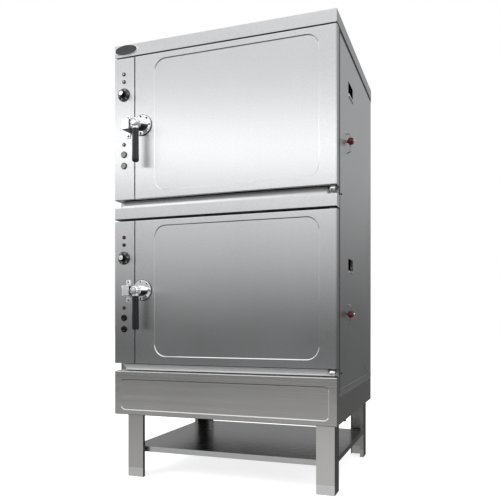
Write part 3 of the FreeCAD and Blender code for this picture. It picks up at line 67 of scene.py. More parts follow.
deck_bottoms = {"lower": 435.0, "upper": 1042.0}
print("front corner of the cover", place(-420, 0, 1620))

# %% [markdown]
# The picture was taken from low down, a little to the right of the front, with the camera held level and
# its view shifted up. A level camera keeps the cabinet's uprights upright, so the shift does what tilting
# would spoil.

# %% Camera
bpy.context.scene.view_settings.view_transform = "Standard"
camera_data = bpy.data.cameras.new("picture_camera")
camera_data.sensor_width = 36.0
camera_data.lens = 599.75 / 500 * 36.0
camera_data.shift_y = 69.21 / 500
camera_data.clip_end = 60.0
camera = bpy.data.objects.new("picture_camera", camera_data)
camera.location = place(813.8, -1943.8, 599.0)
camera.rotation_euler = (math.pi / 2, 0, math.radians(19.70))
bpy.context.scene.collection.objects.link(camera)
bpy.context.scene.camera = camera
print("camera at", [round(v, 3) for v in camera.location], "lens", round(camera_data.lens, 2))

# %% [markdown]
# Shader sums read best as plain arithmetic. This small class wraps one socket of a node, so that
# `0.3 + 0.1 * grain` adds the Math nodes by itself. The workbench beside it makes every other node with
# one method that takes the node's settings first and then what goes into its sockets.

# %% Sockets that do arithmetic
class Value:
    """A number that changes over a surface, wrapped so that Python's operators build its nodes."""

    def __init__(self, bench, socket):
        self.bench = bench
        self.socket = socket

    def math(self, operation, *others):
        inputs = {index: other for index, other in enumerate((self,) + others)}
        return self.bench.node("ShaderNodeMath", {"operation": operation}, inputs)

    def __add__(self, other):
        return self.math("ADD", other)

    def __radd__(self, other):
        return self.math("ADD", other)

    def __mul__(self, other):
        return self.math("MULTIPLY", other)

    def __rmul__(self, other):
        return self.math("MULTIPLY", other)

    def __sub__(self, other):
        return self.math("SUBTRACT", other)

    def __rsub__(self, other):
        return self.bench.number(other).math("SUBTRACT", self)

    def power(self, exponent):
        return self.math("POWER", exponent)

    def clamp(self):
        return self.bench.node("ShaderNodeClamp", {}, {0: self})

    def band(self, low, high):
        """0 below low, 1 above high, smooth between."""
        settings = {"interpolation_type": "SMOOTHSTEP"}
        return self.bench.node("ShaderNodeMapRange", settings, {0: self, 1: low, 2: high, 3: 0.0, 4: 1.0})


class Workbench:
    """The nodes of one material or world."""

    def __init__(self, owner):
        self.tree = owner.node_tree
        self.tree.nodes.clear()

    def node(self, kind, settings, inputs, output=0):
        """Makes a node: settings first, then sockets. Returns the wanted output."""
        made = self.tree.nodes.new(kind)
        for name, setting in settings.items():
            if name == "stops":
                ramp = made.color_ramp.elements
                while len(ramp) < len(setting):
                    ramp.new(0.5)
                for element, (position, level) in zip(ramp, setting):
                    element.position = position
                    element.color = tuple(level) + (1.0,) if isinstance(level, tuple) else (level, level, level, 1.0)
            else:
                setattr(made, name, setting)
        for key, value in inputs.items():
            socket = made.inputs[key]
            if isinstance(value, Value):
                self.tree.links.new(value.socket, socket)
            elif isinstance(value, tuple) and socket.type == "RGBA" and len(value) == 3:
                socket.default_value = value + (1.0,)
            else:
                socket.default_value = value
        return Value(self, made.outputs[output])

    def number(self, value):
        return value if isinstance(value, Value) else self.node("ShaderNodeMath", {"operation": "ADD"}, {0: value, 1: 0.0})

    def where(self):
        """The point on the surface, in the cabinet's own frame."""
        return self.node("ShaderNodeTexCoord", {}, {}, "Object")

    def axes(self, point):
        """The three coordinates of a point as separate values."""
        x = self.node("ShaderNodeSeparateXYZ", {}, {0: point}, 0)
        split = x.socket.node
        return x, Value(self, split.outputs[1]), Value(self, split.outputs[2])

    def stretched(self, point, scale):
        return self.node("ShaderNodeMapping", {}, {"Vector": point, "Scale": scale})

    def noise(self, point, scale, detail=2.0, roughness=0.5):
        inputs = {"Vector": point, "Scale": scale, "Detail": detail, "Roughness": roughness}
        return self.node("ShaderNodeTexNoise", {}, inputs, "Fac")

    def blend(self, factor, first, second):
        """A colour between two colours."""
        return self.node("ShaderNodeMix", {"data_type": "RGBA"}, {0: factor, 6: first, 7: second}, 2)

    def shade(self, colour, level):
        """A colour made darker or lighter by a number."""
        return self.node("ShaderNodeVectorMath", {"operation": "SCALE"}, {0: colour, 3: level})

    def bump(self, height, strength, distance):
        return self.node("ShaderNodeBump", {}, {"Height": height, "Strength": strength, "Distance": distance})

    def surface(self, inputs):
        return self.node("ShaderNodeBsdfPrincipled", {}, inputs)

    def finish(self, shader, output_kind="ShaderNodeOutputMaterial"):
        self.node_output = self.tree.nodes.new(output_kind)
        self.tree.links.new(shader.socket, self.node_output.inputs["Surface"])


def new_material(name):
    material = bpy.data.materials.new(name)
    material.use_nodes = True
    return material, Workbench(material)


# %% [markdown]
# The studio is plain: a pale floor, a white surround and three large soft lamps. The surround is white to
# the camera. Sheet steel is mostly a blurred mirror, so what it sees gives it form: in front a dark floor
# edge, a bright band above it and a softer ceiling, and behind the cabinet a dimmer room. Both are written
# as levels against the rise of the line of sight.

# %% World
world = bpy.data.worlds.new("studio")
world.use_nodes = True
bpy.context.scene.world = world
room = Workbench(world)
direction = room.node("ShaderNodeTexCoord", {}, {}, "Generated")
room_x, room_y, room_z = room.axes(direction)
ROOM_POWER = 2.4


def level_by_rise(stops):
    """Levels of the room against the angle in degrees above the horizon."""
    ramp = [(math.sin(math.radians(angle)) * 0.5 + 0.5, level / ROOM_POWER) for angle, level in stops]
    return room.node("ShaderNodeValToRGB", {"stops": ramp}, {0: room_z * 0.5 + 0.5})


in_front = level_by_rise([(-90, 0.06), (-42, 0.08), (-26, 0.34), (-16, 0.62), (-12, 0.60), (-8, 0.34), (-4, 0.07),
                          (0, 0.10), (4, 0.50), (6, 0.62), (10.5, 0.76), (13.2, 0.86), (16, 2.80), (18, 1.16),
                          (20.5, 0.73), (30, 0.98), (46, 1.50), (90, 1.60)])
behind = level_by_rise([(-90, 0.30), (-8, 0.12), (0, 0.14), (6, 0.26), (13, 0.44), (30, 0.46), (90, 0.70)])
front_share = (0.0 - room_y).band(-0.25, 0.25)
side_share = front_share * room_x.math("ABSOLUTE").band(0.76, 0.95)
seen_level = room.shade(room.blend(front_share, behind, in_front), ROOM_POWER * (1.0 + 0.8 * side_share))
path = room.node("ShaderNodeLightPath", {}, {}, "Is Camera Ray")
glossy = Value(room, path.socket.node.outputs["Is Glossy Ray"])
clear = Value(room, path.socket.node.outputs["Is Transmission Ray"])
for_metal = room.blend(glossy.math("MAXIMUM", clear), (0.55, 0.56, 0.58), seen_level)
surround = room.blend(path, for_metal, (1.0, 1.0, 1.0))
room.finish(room.node("ShaderNodeBackground", {}, {"Color": surround, "Strength": 1.0}), "ShaderNodeOutputWorld")

# %% Floor
bpy.ops.mesh.primitive_plane_add(size=40, location=(0, 0, 0))
floor = bpy.context.object
floor.name = "studio_floor"
floor_material, bench = new_material("studio_floor")
lit = bench.node("ShaderNodeBsdfDiffuse", {}, {"Color": (0.62, 0.62, 0.62)})
glow = bench.node("ShaderNodeEmission", {}, {"Color": (1.0, 1.0, 1.0), "Strength": 0.80})
bright = bench.node("ShaderNodeAddShader", {}, {0: lit, 1: glow})
plain = bench.node("ShaderNodeBsdfDiffuse", {}, {"Color": (0.55, 0.55, 0.55)})
camera_ray = bench.node("ShaderNodeLightPath", {}, {}, "Is Camera Ray")
bench.finish(bench.node("ShaderNodeMixShader", {}, {0: camera_ray, 1: plain, 2: bright}))
floor.data.materials.append(floor_material)
floor.visible_glossy = False

# %% Lamps
def soft_lamp(name, position, target, size, watts):
    data = bpy.data.lights.new(name, "AREA")
    data.shape = "RECTANGLE"
    data.size, data.size_y = size
    data.energy = watts
    lamp = bpy.data.objects.new(name, data)
    lamp.location = position
    lamp.visible_glossy = False
    lamp.rotation_euler = (target - position).to_track_quat("-Z", "Y").to_euler()
    bpy.context.scene.collection.objects.link(lamp)
    return lamp


cabinet_middle = place(0, 380, 850)
soft_lamp("key_lamp", place(-2200, -2600, 2600), cabinet_middle, (2.2, 2.2), 85)
soft_lamp("fill_lamp", place(2600, -1500, 1700), cabinet_middle, (1.6, 2.4), 22)
soft_lamp("top_lamp", place(0, 300, 3600), cabinet_middle, (2.4, 2.0), 45)

# %% [markdown]
# Brushed stainless sheet has three scales of variation. Fine lines run one way, from the abrasive belt.
# Slightly wider streaks and soft cloudy patches come from polishing and handling. All of them change the
# tone and the gloss a little, and the finest lines also tilt the surface. The lines follow the cabinet's
# height here, so one stretched noise serves every panel.

# %% Brushed sheet
def brushed(name, tone, tint=(1.0, 1.0, 1.0), gloss=0.30, grain=(420, 420, 2.2), contrast=0.10, spread=0.0,
            painted_flank=None, painted_rear=None, painted_facing=None, foot=None, ridge=0.12, speckle=0.0):
    """Brushed sheet of one tone. Its lines spread reflections sideways by the amount given. A flank is the
    part right of an x in metres, a rear is the part behind a y, a foot is the part below a z, each with its
    own level of painted light or shade. Facing gives the painted light or shade of faces that look to the
    right, to the front and down."""
    material, bench = new_material(name)
    point = bench.where()
    fine = bench.noise(bench.stretched(point, grain), 1.0, 3.0, 0.6)
    wide = bench.noise(bench.stretched(point, tuple(value * 0.10 + 0.4 for value in grain)), 1.0, 2.0)
    cloud = bench.noise(point, 2.6, 3.0, 0.55)
    level = 1.0 + contrast * (fine - 0.5) + contrast * 0.7 * (wide - 0.5) + 0.10 * (cloud - 0.5)
    if speckle:
        level = level + speckle * (bench.noise(point, 170.0, 1.0) - 0.5)
    x, y, z = bench.axes(point)
    # Painted light and shade by place: a flank, a rear or a foot made lighter or darker.
    if painted_flank:
        level = level * (1.0 - (1.0 - painted_flank[1]) * x.band(painted_flank[0] - 0.0002, painted_flank[0] + 0.0002))
    if painted_rear:
        level = level * (1.0 - (1.0 - painted_rear[1]) * y.band(painted_rear[0] - 0.002, painted_rear[0] + 0.002))
    if foot:
        level = level * (foot[1] + (1.0 - foot[1]) * z.band(foot[0] - 0.001, foot[0] + 0.001))
    # Painted light and shade by the way a face looks: to the right, to the front or down.
    if painted_facing:
        face_x, face_y, face_z = bench.axes(bench.node("ShaderNodeTexCoord", {}, {}, "Normal"))
        level = level * (1.0 - (1.0 - painted_facing[0]) * face_x.band(0.4, 0.8))
        level = level * (1.0 - (1.0 - painted_facing[1]) * (0.0 - face_y).band(0.4, 0.8))
        level = level * (1.0 - (1.0 - painted_facing[2]) * (0.0 - face_z).band(0.4, 0.8))
    colour = bench.shade(bench.node("ShaderNodeCombineColor", {}, {0: tone * tint[0], 1: tone * tint[1], 2: tone * tint[2]}), level)
    rough = gloss + contrast * (fine - 0.5) + 0.08 * (cloud - 0.5)
    normal = bench.bump(fine, ridge, 0.0004)
    inputs = {"Base Color": colour, "Metallic": 1.0, "Roughness": rough, "Normal": normal, "Anisotropic": spread}
    bench.finish(bench.surface(inputs))
    return material


def dress(material, *names):
    for name in names:
        mesh = nodes[name].data
        mesh.materials.clear()
        mesh.materials.append(material)


OUTER = {"tint": (0.985, 0.997, 1.01), "gloss": 0.29, "grain": (1300, 1300, 3.0), "contrast": 0.03, "spread": 0.85,
         "ridge": 0.03, "speckle": 0.14}
outer_steel = brushed("outer_sheet", 0.70, **OUTER)
# The door and cover sheets carry painted shade where they turn round the right side.
door_steel = brushed("door_sheet", 0.70, painted_flank=(place(416.2, 0, 0).x, 0.74), **OUTER)
cover_steel = brushed("cover_sheet", 0.70, painted_flank=(place(419.2, 0, 0).x, 0.72), **OUTER)
# The side sheet is a darker copy of the outer sheet: painted shade on the cabinet's sides.
side_steel = brushed("side_sheet", 0.62, **OUTER)
# Painted shade on the middle fascia's downward faces.
fascia_steel = brushed("fascia_sheet", 0.70, painted_facing=(1.0, 1.0, 0.08), **OUTER)
# Painted shade on the stand's faces that look to the right.
stand_steel = brushed("stand_sheet", 0.68, tint=(1.0, 0.993, 0.975), gloss=0.22, grain=(2.2, 700, 700), contrast=0.17,
                      painted_facing=(0.72, 1.0, 1.0))
# Painted light and shade on the legs: lighter right legs and feet, darker rear legs and right-facing faces.
leg_steel = brushed("leg_sheet", 0.63, tint=(1.0, 0.99, 0.965), gloss=0.24, painted_flank=(place(0, 0, 0).x, 1.32),
                    painted_rear=(place(0, 400, 0).y, 0.45), foot=(0.034, 1.3), painted_facing=(0.16, 1.0, 1.0))
# Painted light on the shelf's front-facing edge and painted shade on its right-facing faces.
shelf_steel = brushed("shelf_sheet", 0.35, tint=(0.99, 0.995, 1.0), gloss=0.25, grain=(2.2, 420, 420), contrast=0.16,
                      painted_facing=(0.6, 2.1, 1.0))
inner_steel = brushed("inner_sheet", 0.50, gloss=0.24)
# The darker copy of the sheet on the front frame and corner posts is painted shade.
dark_steel = brushed("shadow_sheet", 0.42)
dress(outer_steel, "control_strip_lower", "control_strip_upper", "back_panel", "base_tray")
dress(fascia_steel, "mid_fascia")
dress(door_steel, "door_skin_upper", "door_skin_lower")
dress(cover_steel, "top_cover")
dress(side_steel, "side_panel_left", "side_panel_right")
dress(stand_steel, "stand_front_fascia", "stand_aprons", "stand_top_rails")
dress(shelf_steel, "stand_shelf")
dress(leg_steel, "stand_legs")
dress(inner_steel, "chamber_lower", "chamber_upper", "door_liner_lower", "door_liner_upper", "rack_guides",
      "false_floors", "heating_elements", "steam_vents")
dress(dark_steel, "front_frame", "corner_posts")
# The hinge brackets are near black: painted shade round the hinge nuts.
dress(brushed("bracket_sheet", 0.10, gloss=0.4), "hinge_brackets")

# %% [markdown]
# The latches are cast and polished, so they reflect almost like mirrors. Their polish is never perfect:
# a faint unevenness bends the reflections, and fingers leave slightly duller patches.

# %% Bright and moulded finishes
def polished(name, tone, gloss=0.08, metal=1.0):
    """Polished or cast metal, a little uneven and smudged. Less metal than 1 adds a milky base."""
    material, bench = new_material(name)
    point = bench.where()
    ripple = bench.noise(point, 160.0, 2.0)
    smudge = bench.noise(point, 38.0, 3.0)
    colour = bench.shade(bench.node("ShaderNodeCombineColor", {}, {0: tone, 1: tone, 2: tone * 1.01}), 0.94 + 0.12 * smudge)
    rough = gloss + 0.14 * smudge.band(0.45, 0.75)
    normal = bench.bump(ripple, 0.10, 0.0006)
    bench.finish(bench.surface({"Base Color": colour, "Metallic": metal, "Roughness": rough, "Normal": normal}))
    return material


def moulded(name, colour, gloss=0.45, grain=900.0, depth=0.0003, coat=0.0, shine=0.5):
    """Moulded plastic or rubber of one colour, with fine pits and slightly uneven gloss."""
    material, bench = new_material(name)
    point = bench.where()
    pits = bench.noise(point, grain, 2.0)
    patch = bench.noise(point, 30.0, 2.0)
    base = bench.node("ShaderNodeCombineColor", {}, {0: colour[0], 1: colour[1], 2: colour[2]})
    painted = bench.shade(base, 0.85 + 0.30 * patch)
    rough = gloss + 0.16 * (patch - 0.5)
    normal = bench.bump(pits, 0.25, depth)
    inputs = {"Base Color": painted, "Roughness": rough, "Normal": normal, "Coat Weight": coat}
    inputs["Specular IOR Level"] = shine
    bench.finish(bench.surface(inputs))
    return material


chrome = polished("latch_chrome", 0.95, metal=0.80)
light_metal = polished("satin_alloy", 0.72, gloss=0.26)
brass = polished("fitting_brass", 0.7, gloss=0.22)
dark_alloy = polished("valve_alloy", 0.34, gloss=0.24)
cap_metal = polished("knob_cap_metal", 0.93, gloss=0.20)
# Near-black finish, mostly for painted shade and painted dark reflections on undersides, grooves and recesses of the
# latches, screws and keepers; the side rivets wear it too.
shadow_dark = polished("cast_shadow", 0.10, gloss=0.35)
black_plastic = moulded("grip_black", (0.010, 0.010, 0.012), gloss=0.27, shine=0.40)
black_gloss = moulded("knob_black", (0.005, 0.005, 0.006), gloss=0.22, shine=0.22)
skirt_black = moulded("skirt_black", (0.010, 0.010, 0.011), gloss=0.16, shine=0.60, coat=0.2)
mark_grey = moulded("dial_marks", (0.19, 0.195, 0.20), gloss=0.40)
badge_dark = moulded("badge_enamel", (0.030, 0.030, 0.034), gloss=0.30)
grey_plastic = moulded("button_grey", (0.26, 0.27, 0.28), gloss=0.34)
seal_rubber = moulded("seal_rubber", (0.035, 0.035, 0.038), gloss=0.6)
lens_red = moulded("lamp_lens", (0.045, 0.009, 0.013), gloss=0.20, coat=0.1, shine=0.35)
# Pale lens for the upper chamber: a painted highlight.
lens_painted_highlight = moulded("lamp_lens_pale", (0.55, 0.44, 0.46), gloss=0.12, coat=0.5)
handle_red = moulded("valve_red", (0.13, 0.012, 0.016), gloss=0.34)
# Near black: painted shade for the wool seen through the slots.
wool_in_painted_shade = moulded("mineral_wool", (0.040, 0.037, 0.030), gloss=0.9, grain=260.0, depth=0.004)
dress(dark_alloy, "hinge_pins")
dress(chrome, "latch_keepers", "keeper_screws", "latch_flange_lower",
      "latch_flange_upper", "latch_lever_lower", "latch_lever_upper")
dress(black_plastic, "latch_grip_lower", "latch_grip_upper", "thermostat_knob_lower", "thermostat_knob_upper",
      "start_button_lower", "stop_button_lower", "cable_gland")
dress(grey_plastic, "start_button_upper", "stop_button_upper", "electrical_panel")
dress(seal_rubber, "door_gasket_lower", "door_gasket_upper", "drain_sleeve")
dress(lens_red, "signal_lamps")
dress(handle_red, "valve_handle_lower", "valve_handle_upper")
dress(wool_in_painted_shade, "insulation", "door_core_lower", "door_core_upper")
dress(light_metal, "thermostats", "badge_plate")
dress(brass, "water_pipes", "water_inlet", "drain_pipes")
dress(dark_alloy, "water_valves")

# %% [markdown]
# The small pieces come next. Most of them were turned on a lathe, so one function does for all: it draws
# half the outline as a chain of extruded points and spins the chain round the piece's axis. Outlines are
# given as (radius, height) pairs in millimetres, with heights measured along the axis.

# %% Turned pieces
FRONT = Vector((0, -1, 0))
RIGHT = Vector((1, 0, 0))
UP = Vector((0, 0, 1))
BACK = Vector((0, 1, 0))


def turned(name, material, centre, axis, outline, steps=48):
    """A lathe piece: its outline is drawn point by point in edit mode, then spun round the axis."""
    across = RIGHT if abs(axis.x) < 0.5 else UP
    points = [centre + (across * radius + axis * height) * MM for radius, height in outline]
    bpy.ops.object.select_all(action="DESELECT")
    bpy.ops.mesh.primitive_plane_add(size=0.01)
    piece = bpy.context.object
    piece.name = name
    piece.data.name = name
    bpy.ops.object.mode_set(mode="EDIT")
    bpy.ops.mesh.select_mode(type="VERT")
    bpy.ops.mesh.select_all(action="SELECT")
    bpy.ops.mesh.merge(type="CENTER")
    bpy.ops.transform.translate(value=points[0])
    for start, end in zip(points, points[1:]):
        bpy.ops.mesh.extrude_region_move(TRANSFORM_OT_translate={"value": end - start})
    bpy.ops.mesh.select_all(action="SELECT")
    bpy.ops.mesh.spin(steps=steps, angle=math.tau, center=centre, axis=axis)
    bpy.ops.mesh.select_all(action="SELECT")
    bpy.ops.mesh.remove_doubles(threshold=0.00002)
    bpy.ops.mesh.normals_make_consistent(inside=False)
    bpy.ops.object.mode_set(mode="OBJECT")
    bpy.ops.object.shade_smooth_by_angle(angle=math.radians(20))
    piece.data.materials.append(material)
    return piece


def pick_faces(piece, wanted):
    """Enters edit mode with just the wanted faces selected."""
    mesh = piece.data
    for corner in list(mesh.vertices) + list(mesh.edges):
        corner.select = False
    for face in mesh.polygons:
        face.select = wanted(face)
    bpy.ops.object.select_all(action="DESELECT")
    piece.select_set(True)
    bpy.context.view_layer.objects.active = piece
    bpy.ops.object.mode_set(mode="EDIT")
    bpy.ops.mesh.select_mode(type="FACE")


def paint_faces(piece, material, wanted):
    """Gives some faces of a piece a second finish."""
    piece.data.materials.append(material)
    for face in piece.data.polygons:
        if wanted(face):
            face.material_index = len(piece.data.materials) - 1


def block(name, material, low, high, bevel, segments=2):
    """A block between two corners, its edges rounded off in edit mode."""
    bpy.ops.object.select_all(action="DESELECT")
    bpy.ops.mesh.primitive_cube_add(size=1.0)
    piece = bpy.context.object
    piece.name = name
    piece.data.name = name
    bpy.ops.object.mode_set(mode="EDIT")
    bpy.ops.mesh.select_all(action="SELECT")
    bpy.ops.transform.resize(value=high - low)
    bpy.ops.transform.translate(value=(low + high) / 2)
    bpy.ops.mesh.bevel(offset=bevel * MM, segments=segments, affect="EDGES")
    bpy.ops.object.mode_set(mode="OBJECT")
    bpy.ops.object.shade_smooth_by_angle(angle=math.radians(20))
    piece.data.materials.append(material)
    return piece


def another(piece, name, shift):
    """A copy of a piece with its own mesh, moved by the shift."""
    mesh = piece.data.copy()
    mesh.transform(Matrix.Translation(shift))
    twin = bpy.data.objects.new(name, mesh)
    bpy.context.scene.collection.objects.link(twin)
    return twin


def off_axis(centre, axis):
    """How far a face's middle is from an axis, in millimetres."""
    def distance(face):
        arm = face.center - centre
        return (arm - axis * arm.dot(axis)).length / MM
    return distance


# %% [markdown]
# Each knob is a black skirt with a fluted grip and a bright cap. The flutes are pressed in: every second
# face round the grip is inset and pushed towards the axis. The whole set is made for the lower chamber
# first and copied up by the distance between the two chambers.

# %% Knobs
CONTROL_X = -380.0
DECK_RISE = Vector((0, 0, (deck_bottoms["upper"] - deck_bottoms["lower"]) * MM))
deck_shift = {"lower": Vector((0, 0, 0)), "upper": DECK_RISE}
knob_centre = place(CONTROL_X, 0, deck_bottoms["lower"] + 391.0)
skirt_outline = [(0, 0.5), (23.9, 0.5), (24.2, 0.8), (24.2, 3.0), (23.5, 3.9), (22.1, 4.6), (14.6, 6.8), (13.8, 7.5), (12.8, 8.0),
                 (0, 8.0)]
grip_outline = [(0, 7.0), (12.6, 7.0), (12.0, 8.2), (11.0, 23.2), (10.4, 24.0), (0, 24.0)]
cap_outline = [(0, 23.6), (8.9, 23.6), (9.0, 24.1), (8.6, 24.7), (7.9, 25.0), (7.2, 24.8), (6.6, 24.5), (0, 24.7)]
knob_skirt = turned("knob_skirt_lower", skirt_black, knob_centre, FRONT, skirt_outline)
knob_grip = turned("knob_grip_lower", black_gloss, knob_centre, FRONT, grip_outline)
knob_cap = turned("knob_cap_lower", cap_metal, knob_centre, FRONT, cap_outline)


def is_flute(face):
    arm = face.center - knob_centre
    turn = round(math.degrees(math.atan2(arm.z, arm.x)) / 7.5 - 0.5)
    return abs(face.normal.y) < 0.4 and turn % 2 == 0 and arm.y < -0.009


pick_faces(knob_grip, is_flute)
bpy.ops.mesh.inset(thickness=0.00012, depth=-0.0009, use_individual=True)
bpy.ops.object.mode_set(mode="OBJECT")
knob_distance = off_axis(knob_centre, FRONT)
paint_faces(knob_skirt, mark_grey, lambda face: 15 < knob_distance(face) < 21.5
            and round(math.degrees(math.atan2(face.center.z - knob_centre.z, face.center.x - knob_centre.x)) / 7.5 - 0.5) % 8 < 2)
for name, piece in (("knob_skirt", knob_skirt), ("knob_grip", knob_grip), ("knob_cap", knob_cap)):
    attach(piece, "knob_lower")
    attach(another(piece, name + "_upper", DECK_RISE), "knob_upper")
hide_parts("thermostat_knob_lower")
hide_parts("thermostat_knob_upper")

# %% [markdown]
# Push buttons have a dished cap with a raised edge, in a low ring that stays still when the cap is pressed.
# The upper chamber's buttons are grey and the lower chamber's are black, and the rings match them.

# %% Buttons
BUTTON_HEIGHTS = {"start": 169.0, "stop": 127.0}
cap_profile = [(0, 0.2), (9.9, 0.2), (9.9, 4.9), (9.6, 5.6), (9.0, 5.95), (8.2, 5.8), (6.5, 5.1), (4.0, 4.6), (0, 4.4)]
button_finish = {"lower": black_gloss, "upper": grey_plastic}
for deck, bottom in deck_bottoms.items():
    for action, height in BUTTON_HEIGHTS.items():
        middle = place(CONTROL_X, 0, bottom + height)
        cap = turned(action + "_cap_" + deck, button_finish[deck], middle, FRONT, cap_profile)
        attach(cap, action + "_" + deck)
        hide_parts(action + "_button_" + deck)
print("buttons", len(BUTTON_HEIGHTS) * 2)

# %% [markdown]
# Signal lamps are small domed lenses in a dark red ring. The lens catches the light near its top. The upper chamber's
# lenses are pale all through: a painted highlight.

# %% Lamps on the strips
LAMP_HEIGHTS = (468.0, 440.0, 206.0)
lens_profile = [(0, 0.1), (3.3, 0.1), (3.3, 2.6), (2.9, 3.4), (2.0, 3.85), (1.0, 3.98), (0, 4.0)]
collar_profile = [(7.0, 0.0), (7.0, 1.4), (6.5, 2.3), (5.6, 2.8), (4.4, 3.0), (3.6, 2.6), (3.3, 0.0)]
lens_finish = {"lower": lens_red, "upper": lens_painted_highlight}
for deck, bottom in deck_bottoms.items():
    for index, height in enumerate(LAMP_HEIGHTS):
        middle = place(CONTROL_X, 0, bottom + height)
        lens = turned("lamp_lens_%s_%d" % (deck, index), lens_finish[deck], middle, FRONT, lens_profile, 32)
        collar = turned("lamp_collar_%s_%d" % (deck, index), lens_red, middle, FRONT, collar_profile, 32)
        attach(lens, "cabinet")
        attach(collar, "cabinet")
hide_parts("signal_lamps")
print("lamps", len(LAMP_HEIGHTS) * 2)

# %% [markdown]
# A latch has four parts here. The flange is a turned plate with a stepped neck, cut off at the door's edge.
# The hub on it carries a bright face with a groove, a collar joins the hub to the grip, and the grip is a
# long black handle that thickens towards its rounded end.

# %% Latches
LATCH_X = -333.5 + 26.5
LATCH_RISE = 268.0
latch_centre = place(LATCH_X, 0, deck_bottoms["lower"] + LATCH_RISE)
flange_centre = latch_centre + Vector((4.6, 0, 2.4)) * MM
flange_outline = [(0, 0.2), (37.4, 0.2), (37.4, 3.4), (36.8, 4.4), (35.8, 5.0), (0, 5.0)]
edge_outline = [(37.0, 0.0), (38.6, 0.0), (38.6, 3.6), (38.0, 4.6), (37.2, 4.7)]
neck_outline = [(0, 4.0), (31.0, 4.0), (30.4, 5.6), (27.6, 8.2), (27.0, 9.4), (24.6, 11.8), (24.0, 13.0), (21.6, 15.4), (21.0, 16.6),
                (18.6, 19.0), (18.0, 20.2), (15.6, 22.6), (15.4, 27.8), (0, 27.8)]
hub_outline = [(0, 28.3), (15.2, 28.3), (15.5, 28.8), (15.5, 53.2), (15.0, 55.2), (13.6, 57.0), (12.2, 57.8), (11.7, 57.0), (10.9, 57.0),
               (10.4, 57.9), (6.0, 58.2), (0, 58.3)]
latch_plate = turned("latch_plate_lower", chrome, flange_centre, FRONT, flange_outline, 72)
# The near-black ring round the flange's edge is painted shade.
latch_edge = turned("latch_edge_lower", shadow_dark, flange_centre, FRONT, edge_outline, 72)
latch_neck = turned("latch_neck_lower", chrome, latch_centre, FRONT, neck_outline, 48)
latch_hub = turned("latch_hub_lower", chrome, latch_centre, FRONT, hub_outline)
pick_faces(latch_neck, lambda face: True)
bpy.ops.transform.resize(value=(1, 1, 0.62), center_override=latch_centre)
bpy.ops.object.mode_set(mode="OBJECT")
door_edge = place(-333.5, 0, 0)
for piece in (latch_plate, latch_edge, latch_neck):
    pick_faces(piece, lambda face: True)
    bpy.ops.mesh.bisect(plane_co=door_edge, plane_no=(1, 0, 0), use_fill=True, clear_inner=True)
    bpy.ops.object.mode_set(mode="OBJECT")
hub_distance = off_axis(latch_centre, FRONT)
# Painted shade and painted dark reflection on the neck's underside.
paint_faces(latch_neck, shadow_dark, lambda face: face.normal.z < 0.12)
# Painted shade in the groove of the hub's face.
paint_faces(latch_hub, shadow_dark, lambda face: 10.3 < hub_distance(face) < 12.0 and face.center.y < latch_centre.y - 0.055)

grip_top = latch_centre + (FRONT * 42.0 - UP * 20.0) * MM
collar_outline = [(0, -14.0), (10.6, -14.0), (11.0, -12.5), (11.0, -2.2), (11.9, -1.4), (11.9, 0.2), (0, 0.2)]
handle_outline = [(0, 0.0), (11.2, 0.0), (11.6, 0.6), (11.6, 30.0), (12.0, 70.0), (12.5, 104.0), (12.5, 114.5), (12.0, 117.6), (10.8, 120.0),
                  (8.8, 121.5), (5.5, 122.0), (0, 122.0)]
DOWN = -UP
latch_collar = turned("latch_collar_lower", chrome, grip_top, DOWN, collar_outline)
latch_handle = turned("latch_handle_lower", black_plastic, grip_top, DOWN, handle_outline)


latch_pawl = block("latch_pawl_lower", chrome, latch_centre + Vector((-27, -34.8, -11)) * MM,
                   latch_centre + Vector((4, -28.4, 11)) * MM, 2.4)
# Painted shade on the pawl's underside.
paint_faces(latch_pawl, shadow_dark, lambda face: face.normal.z < -0.3)
for piece, body in ((latch_plate, "door_"), (latch_edge, "door_"), (latch_neck, "door_"), (latch_hub, "latch_"),
                    (latch_collar, "latch_"), (latch_handle, "latch_"), (latch_pawl, "latch_")):
    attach(piece, body + "lower")
    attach(another(piece, piece.name.replace("lower", "upper"), DECK_RISE), body + "upper")
for deck in deck_bottoms:
    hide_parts("latch_grip_" + deck)
    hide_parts("latch_flange_" + deck)
    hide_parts("latch_lever_" + deck)

# %% Latch screws
SCREW_ANGLES = (0, 50, 98, -52, -98)
SCREW_CIRCLE = 31.0
screw_outline = [(0, 4.9), (5.0, 4.9), (5.1, 5.4), (4.9, 6.4), (4.3, 7.0), (3.9, 7.15), (3.6, 6.9), (3.3, 5.7), (0, 5.5)]
first = flange_centre + RIGHT * SCREW_CIRCLE * MM
screw = turned("flange_screw_lower_0", chrome, first, FRONT, screw_outline, 24)
# Painted shade in the recess of each screw head.
paint_faces(screw, shadow_dark, lambda face: off_axis(first, FRONT)(face) < 3.55 and face.center.y < first.y - 0.0054)
for deck in deck_bottoms:
    for index, degrees in enumerate(SCREW_ANGLES):
        turn = math.radians(degrees)
        arm = Vector((math.cos(turn) - 1, 0, math.sin(turn))) * SCREW_CIRCLE * MM
        name = "flange_screw_%s_%d" % (deck, index)
        piece = screw if name == screw.name else another(screw, name, arm + deck_shift[deck])
        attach(piece, "door_" + deck)

# %% [markdown]
# The keeper on the strip is a block on a narrow strap with a screw at each end. Its right face is inset and
# pushed in, so the latch's pawl has a mouth to go into.

# %% Keepers
keeper_right = -335.0
base = deck_bottoms["lower"] + LATCH_RISE
keeper_block = block("keeper_block_lower", chrome, place(keeper_right - 29, -42.8, base - 18.5),
                     place(keeper_right, -1.0, base + 18.5), 1.6)
pick_faces(keeper_block, lambda face: face.normal.x > 0.9)
bpy.ops.mesh.inset(thickness=0.0045, depth=-0.016)
bpy.ops.object.mode_set(mode="OBJECT")
